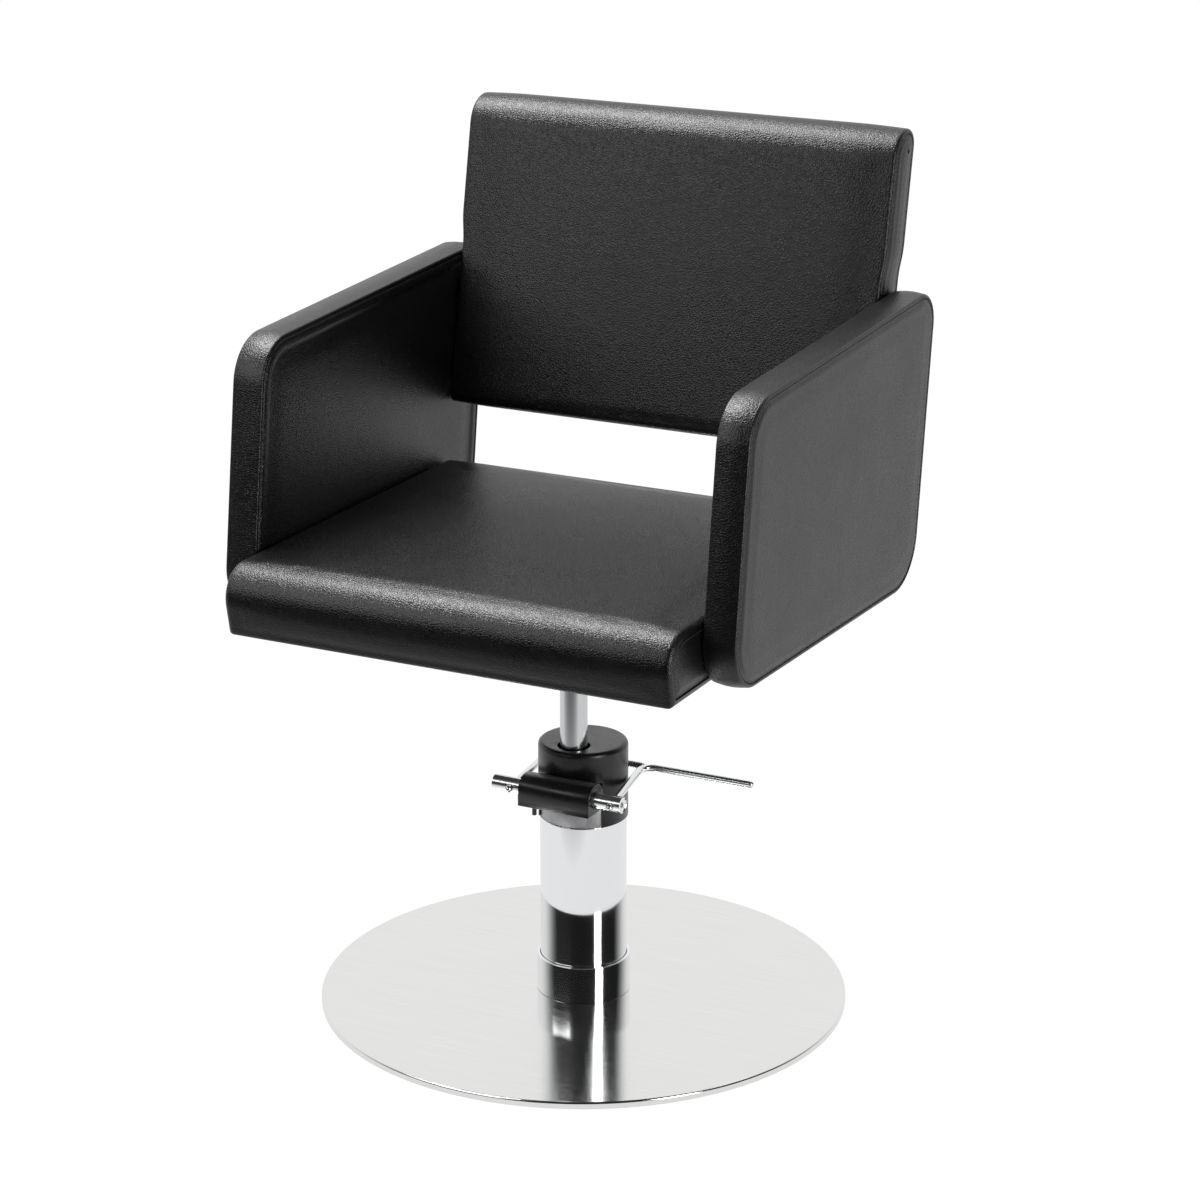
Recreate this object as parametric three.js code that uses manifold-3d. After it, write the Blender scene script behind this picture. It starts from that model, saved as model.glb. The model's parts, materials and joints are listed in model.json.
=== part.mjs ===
// A salon styling chair: an upholstered seat, two panel arms and a low back on a hydraulic pump that
// stands on a round steel base. Millimetres, +Z up. The origin is on the floor under the disc's centre,
// the chair faces -Y, and +X is the sitter's left.
import * as THREE from "three";
import { mergeVertices } from "three/addons/utils/BufferGeometryUtils.js";
import Module from "manifold-3d";

const wasm = await Module();
wasm.setup();

// ---------------------------------------------------------------- driving dimensions
const GAP = 0.3; // between pieces that touch
const SEGMENTS = 48; // sides of a large round piece
const SMALL_SEGMENTS = 16; // sides of a fastener

// Base
const DISC_RADIUS = 290;
const DISC_TOP = 9;
const DISC_SEGMENTS = 80;
const SHEET = 1.4; // stainless sheet of the disc's cover
const RIM_WALL = 2.6; // its rolled rim
const PAD_HEIGHT = 2; // non-slip rubber pad under the whole disc
const PLATE_THICKNESS = 5; // weight plate under the cover

// Column and pump
const COLUMN_RADIUS = 47.5;
const COLUMN_WALL = 2.5;
const COLUMN_TOP = 214;
const FOOT_RING_RADIUS = 51.5;
const FOOT_RING_TOP = 51.5;
const PUMP_FOOT_TOP = 30;
const FOOT_BOLT_CIRCLE = 30; // radius of the three bolts' circle
const COLLAR_RADIUS = 46.8;
const COLLAR_TOP = 239;
const CAP_RADIUS = 49;
const CAP_TOP = 300;
const CAP_WALL = 1.8;
const CAP_EDGE = 5; // rounding of its top edge
const CAP_WINDOW_TOP = 266; // front window in the skirt, for the lever's bearings
const CAP_WINDOW_HALF_ANGLE = 52; // degrees each side of the front

// Ram: it stands forward of the column's axis and leaves room behind it for the plunger.
const RAM_Y = -22;
const RAM_RADIUS = 15;
const RAM_BOTTOM = 140;
const RAM_TOP = 452.5;
const BORE_RADIUS = 17.5;
const CYLINDER_WALL = 3;
const PISTON_BOTTOM = 122;
const SLIDING_FIT = 0.15;

// Plunger, worked by a rocker on the lever's cross-shaft
const PLUNGER_Y = 22;
const PLUNGER_RADIUS = 4;
const PLUNGER_HEAD_RADIUS = 7;
const PLUNGER_HEAD_BOTTOM = 259;
const PLUNGER_TOP = 263.3;
const PLUNGER_BOTTOM = 150;
const SPRING_POCKET_BOTTOM = 222;
const SPRING_POCKET_RADIUS = 9.5;
const SPRING_RADIUS = 6.2; // to the wire's centre
const SPRING_WIRE = 0.9;
const SPRING_TURNS = 6;

// Foot lever
const SHAFT_Y = -58;
const SHAFT_Z = 257;
const SHAFT_RADIUS = 9;
const SHAFT_HALF_LENGTH = 77;
const ROCKER_SLOPE = 7; // degrees that the rocker rises to the rear at rest; the lever lies level
const LEVER_ROD_RADIUS = 4;
const LEVER_CLAMP_X = { right: -55.5, left: 65 }; // where its arms pass through the cross-shaft
const LEVER_REAR_X = { right: -68, left: 44.5 };
const LEVER_REAR_Y = 57;
const LEVER_BEND = 14;
const LEVER_FRONT_STUB = 14; // of the arm, in front of the cross-shaft's axis
const PEDAL_TIP_X = 173.5;
const PEDAL_RISE = 1;
const LUG_REAR_Y = -12; // the bearing lugs run back onto the head casting
const LUG_INNER_X = 24;
const LUG_OUTER_X = 33;
const HOUSING_LEFT = -41;
const HOUSING_RIGHT = 44;
const HOUSING_ROUND = 16.5; // its rounded front is concentric with the cross-shaft
const HOUSING_REAR_ROUND = 14;
const HOUSING_WALL = 2.5;
const HOUSING_BOTTOM = 241.5;
const HOUSING_BACK = -40;
const STOP_SCREW_X = -28.5; // the screw that stops the rocker's hub stands in the right lug
const STOP_SCREW_Y = -60;
const STOP_SCREW_RADIUS = 2.5;
const STOP_SCREW_BOTTOM = 228;
const STOP_SCREW_TOP = 245;

// Upholstery
const COVER = 1.5; // thickness of the leatherette
const SEAT_HALF_WIDTH = 254.3;
const SEAT_BOTTOM = 474;
const SEAT_TOP = 542;
const SEAT_FOOT_Y = -304; // lower edge of the front
const SEAT_BROW_Y = -319; // where front and top would meet without the roll
const SEAT_ROLL = 30;
const SEAT_REAR_Y = 162;
const FRAME_TOP = 503; // of the seat's wooden rails
const FRAME_HALF_WIDTH = 246;
const FRAME_FRONT_Y = -290;
const FRAME_REAR_Y = 155;
const RAIL_WIDTH = 30;
const BOARD = 9;
const ARM_INNER_X = 254.6;
const ARM_OUTER_X = 293.5;
const ARM_CORE_INNER_X = 259;
const ARM_CORE_OUTER_X = 279;
const ARM_CORE_INSET = 10;
const ARM_BOLT_Z = 492;
const BACK_Y = 160; // front face's foot
const BACK_Z = 609;
const BACK_HEIGHT = 350;
const BACK_THICKNESS = 56;
const BACK_RECLINE = 11; // degrees
const BACK_HALF_WIDTH = 254.3;
const BACK_BOARD_FRONT = 31;
const BACK_BOARD_HALF_WIDTH = 238;
const BACK_BOARD_LOW = 14;
const BACK_BOARD_HIGH = 330;
const BOLT_RADIUS = 4; // M8
const BOLT_HOLE = 4.4;
const SKIN_HOLE = 5;

// Seat plate and hub
const HUB_BOTTOM = 396;
const HUB_RADIUS = 24;
const HUB_FLARE_RADIUS = 45;
const SEAT_PLATE_HALF = 110;
const SEAT_PLATE_THICKNESS = 6;
const PLATE_BOLT_OFFSET = 85;
const CROSS_BOARD_TOP = 499;

// ---------------------------------------------------------------- materials
function material(colour, roughness, metalness) {
  return new THREE.MeshStandardMaterial({ color: colour, roughness, metalness });
}

const leatherette = material(0x17171a, 0.45, 0);
const foam = material(0xd9cfa8, 0.95, 0);
const plywood = material(0xb98c5a, 0.7, 0);
const liner = material(0x222222, 0.95, 0);
const chrome = material(0xe4e6e8, 0.08, 1);
const stainless = material(0xc8c8c6, 0.28, 1);
const steel = material(0x8d8f92, 0.4, 1);
const ironwork = material(0x2a2b2d, 0.6, 0.6);
const aluminium = material(0x9a9b9d, 0.45, 0.9);
const bronze = material(0xb08d57, 0.35, 1);
const plastic = material(0x141415, 0.35, 0);
const rubber = material(0x111111, 0.85, 0);

// ---------------------------------------------------------------- geometry helpers
function toSolid(geometry) {
  const bare = geometry.clone();
  bare.deleteAttribute("normal");
  bare.deleteAttribute("uv");
  const merged = mergeVertices(bare, 1e-4);
  return new wasm.Manifold(
    new wasm.Mesh({
      numProp: 3,
      vertProperties: new Float32Array(merged.attributes.position.array),
      triVerts: new Uint32Array(merged.index.array),
    }),
  );
}

function toGeometry(solid) {
  const mesh = solid.getMesh();
  return new THREE.BufferGeometry()
    .setAttribute("position", new THREE.BufferAttribute(new Float32Array(mesh.vertProperties), 3))
    .setIndex(new THREE.BufferAttribute(new Uint32Array(mesh.triVerts), 1));
}

function cut(geometry, ...tools) {
  return toGeometry(tools.reduce((solid, tool) => solid.subtract(toSolid(tool)), toSolid(geometry)));
}

function join(geometry, ...others) {
  return toGeometry(others.reduce((solid, other) => solid.add(toSolid(other)), toSolid(geometry)));
}

// A turned piece about a vertical axis at (0, y). The profile's [radius, z] points run counter-clockwise,
// and it closes on itself, or starts and ends on the axis.
function turned(profile, y = 0, segments = SEGMENTS) {
  const points = profile.map(([radius, z]) => new THREE.Vector2(radius, z));
  const onAxis = profile[0][0] === 0 && profile.at(-1)[0] === 0;
  if (!onAxis) points.push(points[0].clone());
  return new THREE.LatheGeometry(points, segments).rotateX(Math.PI / 2).translate(0, y, 0);
}

function ring(inner, outer, bottom, top, y = 0, segments = SEGMENTS) {
  return turned([[inner, bottom], [outer, bottom], [outer, top], [inner, top]], y, segments);
}

function upright(radius, bottom, top, x, y, segments = SMALL_SEGMENTS) {
  return new THREE.CylinderGeometry(radius, radius, top - bottom, segments)
    .rotateX(Math.PI / 2)
    .translate(x, y, (top + bottom) / 2);
}

function crosswise(radius, from, to, y, z, segments = SMALL_SEGMENTS) {
  return new THREE.CylinderGeometry(radius, radius, Math.abs(to - from), segments)
    .rotateZ(Math.PI / 2)
    .translate((from + to) / 2, y, z);
}

function block(x0, x1, y0, y1, z0, z1) {
  return new THREE.BoxGeometry(x1 - x0, y1 - y0, z1 - z0).translate(
    (x0 + x1) / 2,
    (y0 + y1) / 2,
    (z0 + z1) / 2,
  );
}

// A counter-clockwise outline whose [u, v, radius] corners are rounded by arcs.
function rounded(corners, steps = 6) {
  const points = [];
  corners.forEach(([u, v, radius], i) => {
    const corner = new THREE.Vector2(u, v);
    const [u0, v0] = corners.at(i - 1);
    const [u1, v1] = corners[(i + 1) % corners.length];
    const back = new THREE.Vector2(u0, v0).sub(corner).normalize();
    const on = new THREE.Vector2(u1, v1).sub(corner).normalize();
    if (radius === 0) {
      points.push(corner);
      return;
    }
    const half = Math.acos(back.dot(on)) / 2;
    const centre = back.clone().add(on).setLength(radius / Math.sin(half)).add(corner);
    const reach = radius / Math.tan(half);
    const start = back.setLength(reach).add(corner).sub(centre);
    const turn = Math.PI - 2 * half;
    for (let k = 0; k <= steps; k++) {
      points.push(start.clone().rotateAround(new THREE.Vector2(), (turn * k) / steps).add(centre));
    }
  });
  return points;
}

// The same outline moved in by a distance. Straight sides stay parallel and radii shrink.
function inset(corners, distance) {
  return corners.map(([u, v, radius], i) => {
    const corner = new THREE.Vector2(u, v);
    const [u0, v0] = corners.at(i - 1);
    const [u1, v1] = corners[(i + 1) % corners.length];
    const back = new THREE.Vector2(u0, v0).sub(corner).normalize();
    const on = new THREE.Vector2(u1, v1).sub(corner).normalize();
    const half = Math.acos(back.dot(on)) / 2;
    const moved = back.add(on).setLength(distance / Math.sin(half)).add(corner);
    return [moved.x, moved.y, radius === 0 ? 0 : Math.max(radius - distance, 1)];
  });
}

// An outline in the (y, z) plane, extruded along X.
function sideways(outline, x0, x1) {
  const axes = new THREE.Matrix4().makeBasis(
    new THREE.Vector3(0, 1, 0),
    new THREE.Vector3(0, 0, 1),
    new THREE.Vector3(1, 0, 0),
  );
  return new THREE.ExtrudeGeometry(new THREE.Shape(outline), { depth: x1 - x0, bevelEnabled: false })
    .applyMatrix4(axes)
    .translate(x0, 0, 0);
}

// An outline in the (x, y) plane, extruded upwards.
function upwards(outline, z0, z1) {
  return new THREE.ExtrudeGeometry(new THREE.Shape(outline), { depth: z1 - z0, bevelEnabled: false })
    .translate(0, 0, z0);
}

// A round rod along straight runs with rounded bends.
function bentRod(corners, radius, bend, sides = 12) {
  const path = new THREE.CurvePath();
  let from = corners[0];
  corners.slice(1, -1).forEach((corner, i) => {
    const before = corner.clone().lerp(corners[i], bend / corner.distanceTo(corners[i]));
    const after = corner.clone().lerp(corners[i + 2], bend / corner.distanceTo(corners[i + 2]));
    path.add(new THREE.LineCurve3(from, before));
    path.add(new THREE.QuadraticBezierCurve3(before, corner, after));
    from = after;
  });
  path.add(new THREE.LineCurve3(from, corners.at(-1)));
  const section = new THREE.Shape().absarc(0, 0, radius, 0, 2 * Math.PI);
  return new THREE.ExtrudeGeometry(section, {
    curveSegments: sides / 2,
    steps: 20,
    extrudePath: path,
  });
}

class Helix extends THREE.Curve {
  constructor(radius, bottom, top, turns) {
    super();
    Object.assign(this, { radius, bottom, top, turns });
  }

  getPoint(t, target = new THREE.Vector3()) {
    const angle = 2 * Math.PI * this.turns * t;
    const z = this.bottom + (this.top - this.bottom) * t;
    return target.set(this.radius * Math.cos(angle), this.radius * Math.sin(angle), z);
  }
}

const sideNames = [["right", -1], ["left", 1]]; // the sitter's right is at -X

const chair = new THREE.Group();
chair.name = "styling_chair";

function addTo(group, name, geometry, finish) {
  const mesh = new THREE.Mesh(geometry, finish);
  mesh.name = name;
  group.add(mesh);
}

// ---------------------------------------------------------------- base
const rimInner = DISC_RADIUS - RIM_WALL;
const coverBottom = DISC_TOP - SHEET;
const plateTop = coverBottom - GAP;
const plateBottom = plateTop - PLATE_THICKNESS;
const columnInner = COLUMN_RADIUS - COLUMN_WALL;

function footBoltPlaces() {
  return [90, 210, 330].map((degrees) => {
    const angle = THREE.MathUtils.degToRad(degrees);
    return [FOOT_BOLT_CIRCLE * Math.cos(angle), FOOT_BOLT_CIRCLE * Math.sin(angle)];
  });
}

// A countersunk screw, or the hole for it when clearance is above 0.
function countersunk(clearance, top) {
  const low = plateBottom + GAP - 2 * clearance;
  const headRadius = 2 * BOLT_RADIUS + clearance;
  const shank = BOLT_RADIUS + clearance;
  const profile = [
    [0, low],
    [headRadius, low],
    [headRadius, plateBottom + GAP],
    [shank, plateTop - 0.8],
    [shank, top],
    [0, top],
  ];
  return turned(profile, 0, SMALL_SEGMENTS);
}

function buildBase() {
  addTo(chair, "floor_pad", upright(rimInner - 0.4, 0, PAD_HEIGHT, 0, 0, DISC_SEGMENTS), rubber);

  const screwHole = countersunk(GAP, PUMP_FOOT_TOP - 4);
  const screwHoles = footBoltPlaces().map(([x, y]) => screwHole.clone().translate(x, y, 0));
  const plate = upright(rimInner - 3, plateBottom, plateTop, 0, 0, DISC_SEGMENTS);
  addTo(chair, "base_plate", cut(plate, ...screwHoles), ironwork);

  const coverProfile = [
    [columnInner + 0.9, coverBottom],
    [rimInner - 1.4, coverBottom],
    [rimInner, coverBottom - 1.4],
    [rimInner, 1.5],
    [DISC_RADIUS, 1.5],
    [DISC_RADIUS, DISC_TOP - 1.8],
    [DISC_RADIUS - 0.5, DISC_TOP - 0.5],
    [DISC_RADIUS - 1.8, DISC_TOP],
    [columnInner + 0.9, DISC_TOP],
  ];
  addTo(chair, "base_cover", turned(coverProfile, 0, DISC_SEGMENTS), stainless);

  const stand = DISC_TOP + GAP;
  const ringInner = COLUMN_RADIUS + 0.5;
  const ringProfile = [
    [ringInner, stand],
    [FOOT_RING_RADIUS, stand],
    [FOOT_RING_RADIUS, FOOT_RING_TOP - 1.2],
    [FOOT_RING_RADIUS - 1.2, FOOT_RING_TOP],
    [ringInner, FOOT_RING_TOP],
  ];
  addTo(chair, "foot_ring", turned(ringProfile), chrome);
  addTo(chair, "column_tube", ring(columnInner, COLUMN_RADIUS, stand, COLUMN_TOP), chrome);

  const pumpFoot = upright(columnInner - GAP, plateTop + GAP, PUMP_FOOT_TOP, 0, 0, SEGMENTS);
  addTo(chair, "pump_foot", cut(pumpFoot, ...screwHoles), ironwork);
  footBoltPlaces().forEach(([x, y], i) => {
    const bolt = countersunk(0, PUMP_FOOT_TOP - 6).translate(x, y, 0);
    addTo(chair, `foot_bolt_${i + 1}`, bolt, steel);
  });
}

// ---------------------------------------------------------------- pump
const headBottom = COLUMN_TOP + GAP;

function buildPumpInside() {
  const cylinderOuter = BORE_RADIUS + CYLINDER_WALL;
  const cylinder = ring(BORE_RADIUS, cylinderOuter, PUMP_FOOT_TOP + GAP, COLUMN_TOP, RAM_Y);
  addTo(chair, "main_cylinder", cylinder, steel);

  const blockTop = PUMP_FOOT_TOP + 30;
  const valveBlock = block(-16, 16, 8, 36, PUMP_FOOT_TOP + GAP, blockTop);
  const delivery = upright(PLUNGER_RADIUS, blockTop - 18, blockTop + 1, 0, PLUNGER_Y);
  const relief = crosswise(2.5, 0, 20, PLUNGER_Y, blockTop - 11);
  addTo(chair, "valve_block", cut(valveBlock, delivery, relief), steel);
  const barrel = ring(
    PLUNGER_RADIUS + SLIDING_FIT,
    10,
    blockTop + GAP,
    COLUMN_TOP,
    PLUNGER_Y,
    SMALL_SEGMENTS,
  );
  addTo(chair, "pump_barrel", barrel, steel);

  const sealBottom = PISTON_BOTTOM + 6;
  const sealTop = sealBottom + 5;
  const pistonRadius = BORE_RADIUS - SLIDING_FIT;
  const pistonTop = RAM_BOTTOM - GAP;
  const piston = [
    [0, PISTON_BOTTOM],
    [pistonRadius, PISTON_BOTTOM],
    [pistonRadius, sealBottom - GAP],
    [BORE_RADIUS - 3, sealBottom - GAP],
    [BORE_RADIUS - 3, sealTop + GAP],
    [pistonRadius, sealTop + GAP],
    [pistonRadius, pistonTop],
    [0, pistonTop],
  ];
  addTo(chair, "piston_head", turned(piston, RAM_Y), steel);
  const seal = ring(BORE_RADIUS - 3 + GAP, BORE_RADIUS - 0.08, sealBottom, sealTop, RAM_Y);
  addTo(chair, "piston_seal", seal, rubber);

  const plungerProfile = [
    [0, PLUNGER_BOTTOM],
    [PLUNGER_RADIUS, PLUNGER_BOTTOM],
    [PLUNGER_RADIUS, PLUNGER_HEAD_BOTTOM],
    [PLUNGER_HEAD_RADIUS, PLUNGER_HEAD_BOTTOM],
    [PLUNGER_HEAD_RADIUS, PLUNGER_TOP - 1.3],
    [PLUNGER_HEAD_RADIUS / 2, PLUNGER_TOP - 0.3],
    [0, PLUNGER_TOP],
  ];
  addTo(chair, "plunger", turned(plungerProfile, PLUNGER_Y, SMALL_SEGMENTS), steel);

  const coil = new Helix(
    SPRING_RADIUS,
    SPRING_POCKET_BOTTOM + SPRING_WIRE + GAP,
    PLUNGER_HEAD_BOTTOM - SPRING_WIRE - GAP,
    SPRING_TURNS,
  );
  const wire = new THREE.Shape().absarc(0, 0, SPRING_WIRE, 0, 2 * Math.PI);
  const spring = new THREE.ExtrudeGeometry(wire, {
    curveSegments: 3,
    steps: 10 * SPRING_TURNS,
    extrudePath: coil,
  });
  addTo(chair, "plunger_spring", spring.translate(0, PLUNGER_Y, 0), steel);
}

// The head casting closes the column. Its front lugs carry the lever's cross-shaft.
function buildPumpHead() {
  const lug = [
    [SHAFT_Y - 12, COLLAR_TOP + 3, 0],
    [SHAFT_Y + 11, COLLAR_TOP - 8, 0],
    [LUG_REAR_Y, COLLAR_TOP - 8, 0],
    [LUG_REAR_Y, COLLAR_TOP + 4, 2],
    [SHAFT_Y + 20, COLLAR_TOP + 12, 2],
    [SHAFT_Y + 12, SHAFT_Z + 12, 10.5],
    [SHAFT_Y - 12, SHAFT_Z + 12, 10.5],
  ];
  const collar = upright(COLLAR_RADIUS, headBottom, COLLAR_TOP, 0, 0, SEGMENTS);
  const lugs = [
    sideways(rounded(lug, 4), -LUG_OUTER_X, -LUG_INNER_X),
    sideways(rounded(lug, 4), LUG_INNER_X, LUG_OUTER_X),
  ];
  const bearing = crosswise(SHAFT_RADIUS + GAP, -80, 80, SHAFT_Y, SHAFT_Z);
  const stopHole = upright(
    STOP_SCREW_RADIUS + GAP,
    STOP_SCREW_BOTTOM,
    STOP_SCREW_TOP + GAP,
    STOP_SCREW_X,
    STOP_SCREW_Y,
  );
  const glandSeat = upright(19.3, 220.7, COLLAR_TOP + 1, 0, RAM_Y, SEGMENTS);
  const ramHole = upright(RAM_RADIUS + 0.6, headBottom - 1, COLLAR_TOP, 0, RAM_Y, SEGMENTS);
  const springPocket = upright(SPRING_POCKET_RADIUS, SPRING_POCKET_BOTTOM, COLLAR_TOP + 1, 0, PLUNGER_Y);
  const plungerHole = upright(PLUNGER_RADIUS + SLIDING_FIT, headBottom - 1, COLLAR_TOP, 0, PLUNGER_Y);
  const holes = [bearing, stopHole, glandSeat, ramHole, springPocket, plungerHole];
  addTo(chair, "pump_head", cut(join(collar, ...lugs), ...holes), aluminium);

  const glandInner = RAM_RADIUS + SLIDING_FIT;
  const gland = [
    [glandInner, 221],
    [19, 221],
    [19, COLLAR_TOP + GAP],
    [22, COLLAR_TOP + GAP],
    [22, COLLAR_TOP + 4],
    [glandInner, COLLAR_TOP + 4],
  ];
  addTo(chair, "rod_gland", turned(gland, RAM_Y), bronze);
}

function buildCap() {
  const inner = CAP_RADIUS - CAP_WALL;
  const skirtBottom = COLUMN_TOP + 0.6;
  const profile = [
    [0, CAP_TOP - 3.5],
    [inner - 4, CAP_TOP - 3.5],
    [inner, CAP_TOP - 8],
    [inner, skirtBottom],
    [CAP_RADIUS, skirtBottom],
    [CAP_RADIUS, CAP_TOP - CAP_EDGE],
    [CAP_RADIUS - 0.3 * CAP_EDGE, CAP_TOP - 0.3 * CAP_EDGE],
    [CAP_RADIUS - CAP_EDGE, CAP_TOP],
    [0, CAP_TOP],
  ];
  const ramHole = upright(RAM_RADIUS + 3, CAP_TOP - 20, CAP_TOP + 5, 0, RAM_Y, SEGMENTS);
  const angle = THREE.MathUtils.degToRad(CAP_WINDOW_HALF_ANGLE);
  const reach = 2 * CAP_RADIUS;
  const wedge = [
    new THREE.Vector2(0, 0),
    new THREE.Vector2(-reach * Math.sin(angle), -reach * Math.cos(angle)),
    new THREE.Vector2(reach * Math.sin(angle), -reach * Math.cos(angle)),
  ];
  const cap = cut(turned(profile), ramHole, upwards(wedge, skirtBottom - 1, CAP_WINDOW_TOP));
  addTo(chair, "pump_cap", cap, plastic);
}

function housingOutline(shrink) {
  const front = SHAFT_Y - HOUSING_ROUND + shrink;
  const top = SHAFT_Z + HOUSING_ROUND - shrink;
  const low = HOUSING_BOTTOM - (shrink > 0 ? 5 : 0);
  const back = HOUSING_BACK - shrink;
  return rounded([
    [front, low, 0],
    [back, low, 0],
    [back, top, HOUSING_REAR_ROUND - shrink],
    [front, top, HOUSING_ROUND - shrink],
  ]);
}

function buildHousing() {
  const shell = sideways(housingOutline(0), HOUSING_LEFT, HOUSING_RIGHT);
  const hollow = sideways(
    housingOutline(HOUSING_WALL),
    HOUSING_LEFT + HOUSING_WALL,
    HOUSING_RIGHT - HOUSING_WALL,
  );
  const shaftHole = crosswise(SHAFT_RADIUS + 0.8, -80, 80, SHAFT_Y, SHAFT_Z);
  const rearOpening = block(-36, 36, HOUSING_BACK - 9, HOUSING_BACK + 5, HOUSING_BOTTOM - 5, CAP_WINDOW_TOP);
  const capRoom = upright(CAP_RADIUS + GAP, HOUSING_BOTTOM - 10, CAP_TOP, 0, 0, SEGMENTS);
  addTo(chair, "shaft_housing", cut(shell, hollow, shaftHole, rearOpening, capRoom), plastic);
}

// ---------------------------------------------------------------- foot lever
const rockerSlope = THREE.MathUtils.degToRad(ROCKER_SLOPE);

// The front end and the rear corner of the lever's arm on one side.
function leverArm(name) {
  const clamp = new THREE.Vector3(LEVER_CLAMP_X[name], SHAFT_Y, SHAFT_Z);
  const rear = new THREE.Vector3(LEVER_REAR_X[name], LEVER_REAR_Y, SHAFT_Z);
  return [clamp.clone().lerp(rear, -LEVER_FRONT_STUB / clamp.distanceTo(rear)), rear];
}

function buildLever() {
  const pedalTip = new THREE.Vector3(PEDAL_TIP_X, LEVER_REAR_Y, SHAFT_Z + PEDAL_RISE);
  const barEnd = new THREE.Vector3(LEVER_REAR_X.left + 8, LEVER_REAR_Y, SHAFT_Z);
  const tip = new THREE.SphereGeometry(LEVER_ROD_RADIUS, 12, 8).translate(...pedalTip);
  const lever = join(
    bentRod([...leverArm("left"), pedalTip], LEVER_ROD_RADIUS, LEVER_BEND),
    bentRod([...leverArm("right"), barEnd], LEVER_ROD_RADIUS, LEVER_BEND),
    tip,
  );
  addTo(chair, "foot_lever", lever, chrome);

  const armHoles = sideNames.map(([name]) => {
    const [front, rear] = leverArm(name);
    return bentRod([front.clone().lerp(rear, -0.1), rear], LEVER_ROD_RADIUS + GAP, 1);
  });
  const screwHoles = sideNames.map(([name, side]) =>
    crosswise(3.3, LEVER_CLAMP_X[name] + 2 * side, side * 80, SHAFT_Y, SHAFT_Z),
  );
  const shaft = crosswise(SHAFT_RADIUS, -SHAFT_HALF_LENGTH, SHAFT_HALF_LENGTH, SHAFT_Y, SHAFT_Z);
  addTo(chair, "cross_shaft", cut(shaft, ...armHoles, ...screwHoles), chrome);
  sideNames.forEach(([name, side]) => {
    const inner = LEVER_CLAMP_X[name] + 5.8 * side;
    const outer = side * (SHAFT_HALF_LENGTH - 0.5);
    const socket = crosswise(1.7, side * (SHAFT_HALF_LENGTH - 4), side * 80, SHAFT_Y, SHAFT_Z, 6);
    const screw = cut(crosswise(3, inner, outer, SHAFT_Y, SHAFT_Z), socket);
    addTo(chair, `lever_screw_${name}`, screw, steel);
  });

  const stopScrew = upright(
    STOP_SCREW_RADIUS,
    STOP_SCREW_BOTTOM,
    STOP_SCREW_TOP,
    STOP_SCREW_X,
    STOP_SCREW_Y,
  );
  addTo(chair, "stop_screw", stopScrew, ironwork);
}

// The rocker turns with the cross-shaft, straddles the ram and presses the plunger behind it.
function buildRocker() {
  const frame = block(-23, 23, 0, 90, -3, 3);
  const window = block(-18, 18, 13, 62, -5, 5);
  const hub = crosswise(12, -14, 14, 0, 0, SMALL_SEGMENTS);
  const shaftHole = crosswise(SHAFT_RADIUS + GAP, -40, 40, 0, 0);
  const rocker = cut(join(frame, hub), window, shaftHole)
    .rotateX(rockerSlope)
    .translate(0, SHAFT_Y, SHAFT_Z);
  addTo(chair, "rocker", rocker, steel);
}

// ---------------------------------------------------------------- ram, hub and seat plate
function plateBoltPlaces() {
  const offsets = [-PLATE_BOLT_OFFSET, PLATE_BOLT_OFFSET];
  return offsets.flatMap((x) => offsets.map((y) => [x, RAM_Y + y]));
}

const seatPlateTop = SEAT_BOTTOM - GAP;
const seatPlateBottom = seatPlateTop - SEAT_PLATE_THICKNESS;
const hubTop = seatPlateBottom - GAP;

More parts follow.
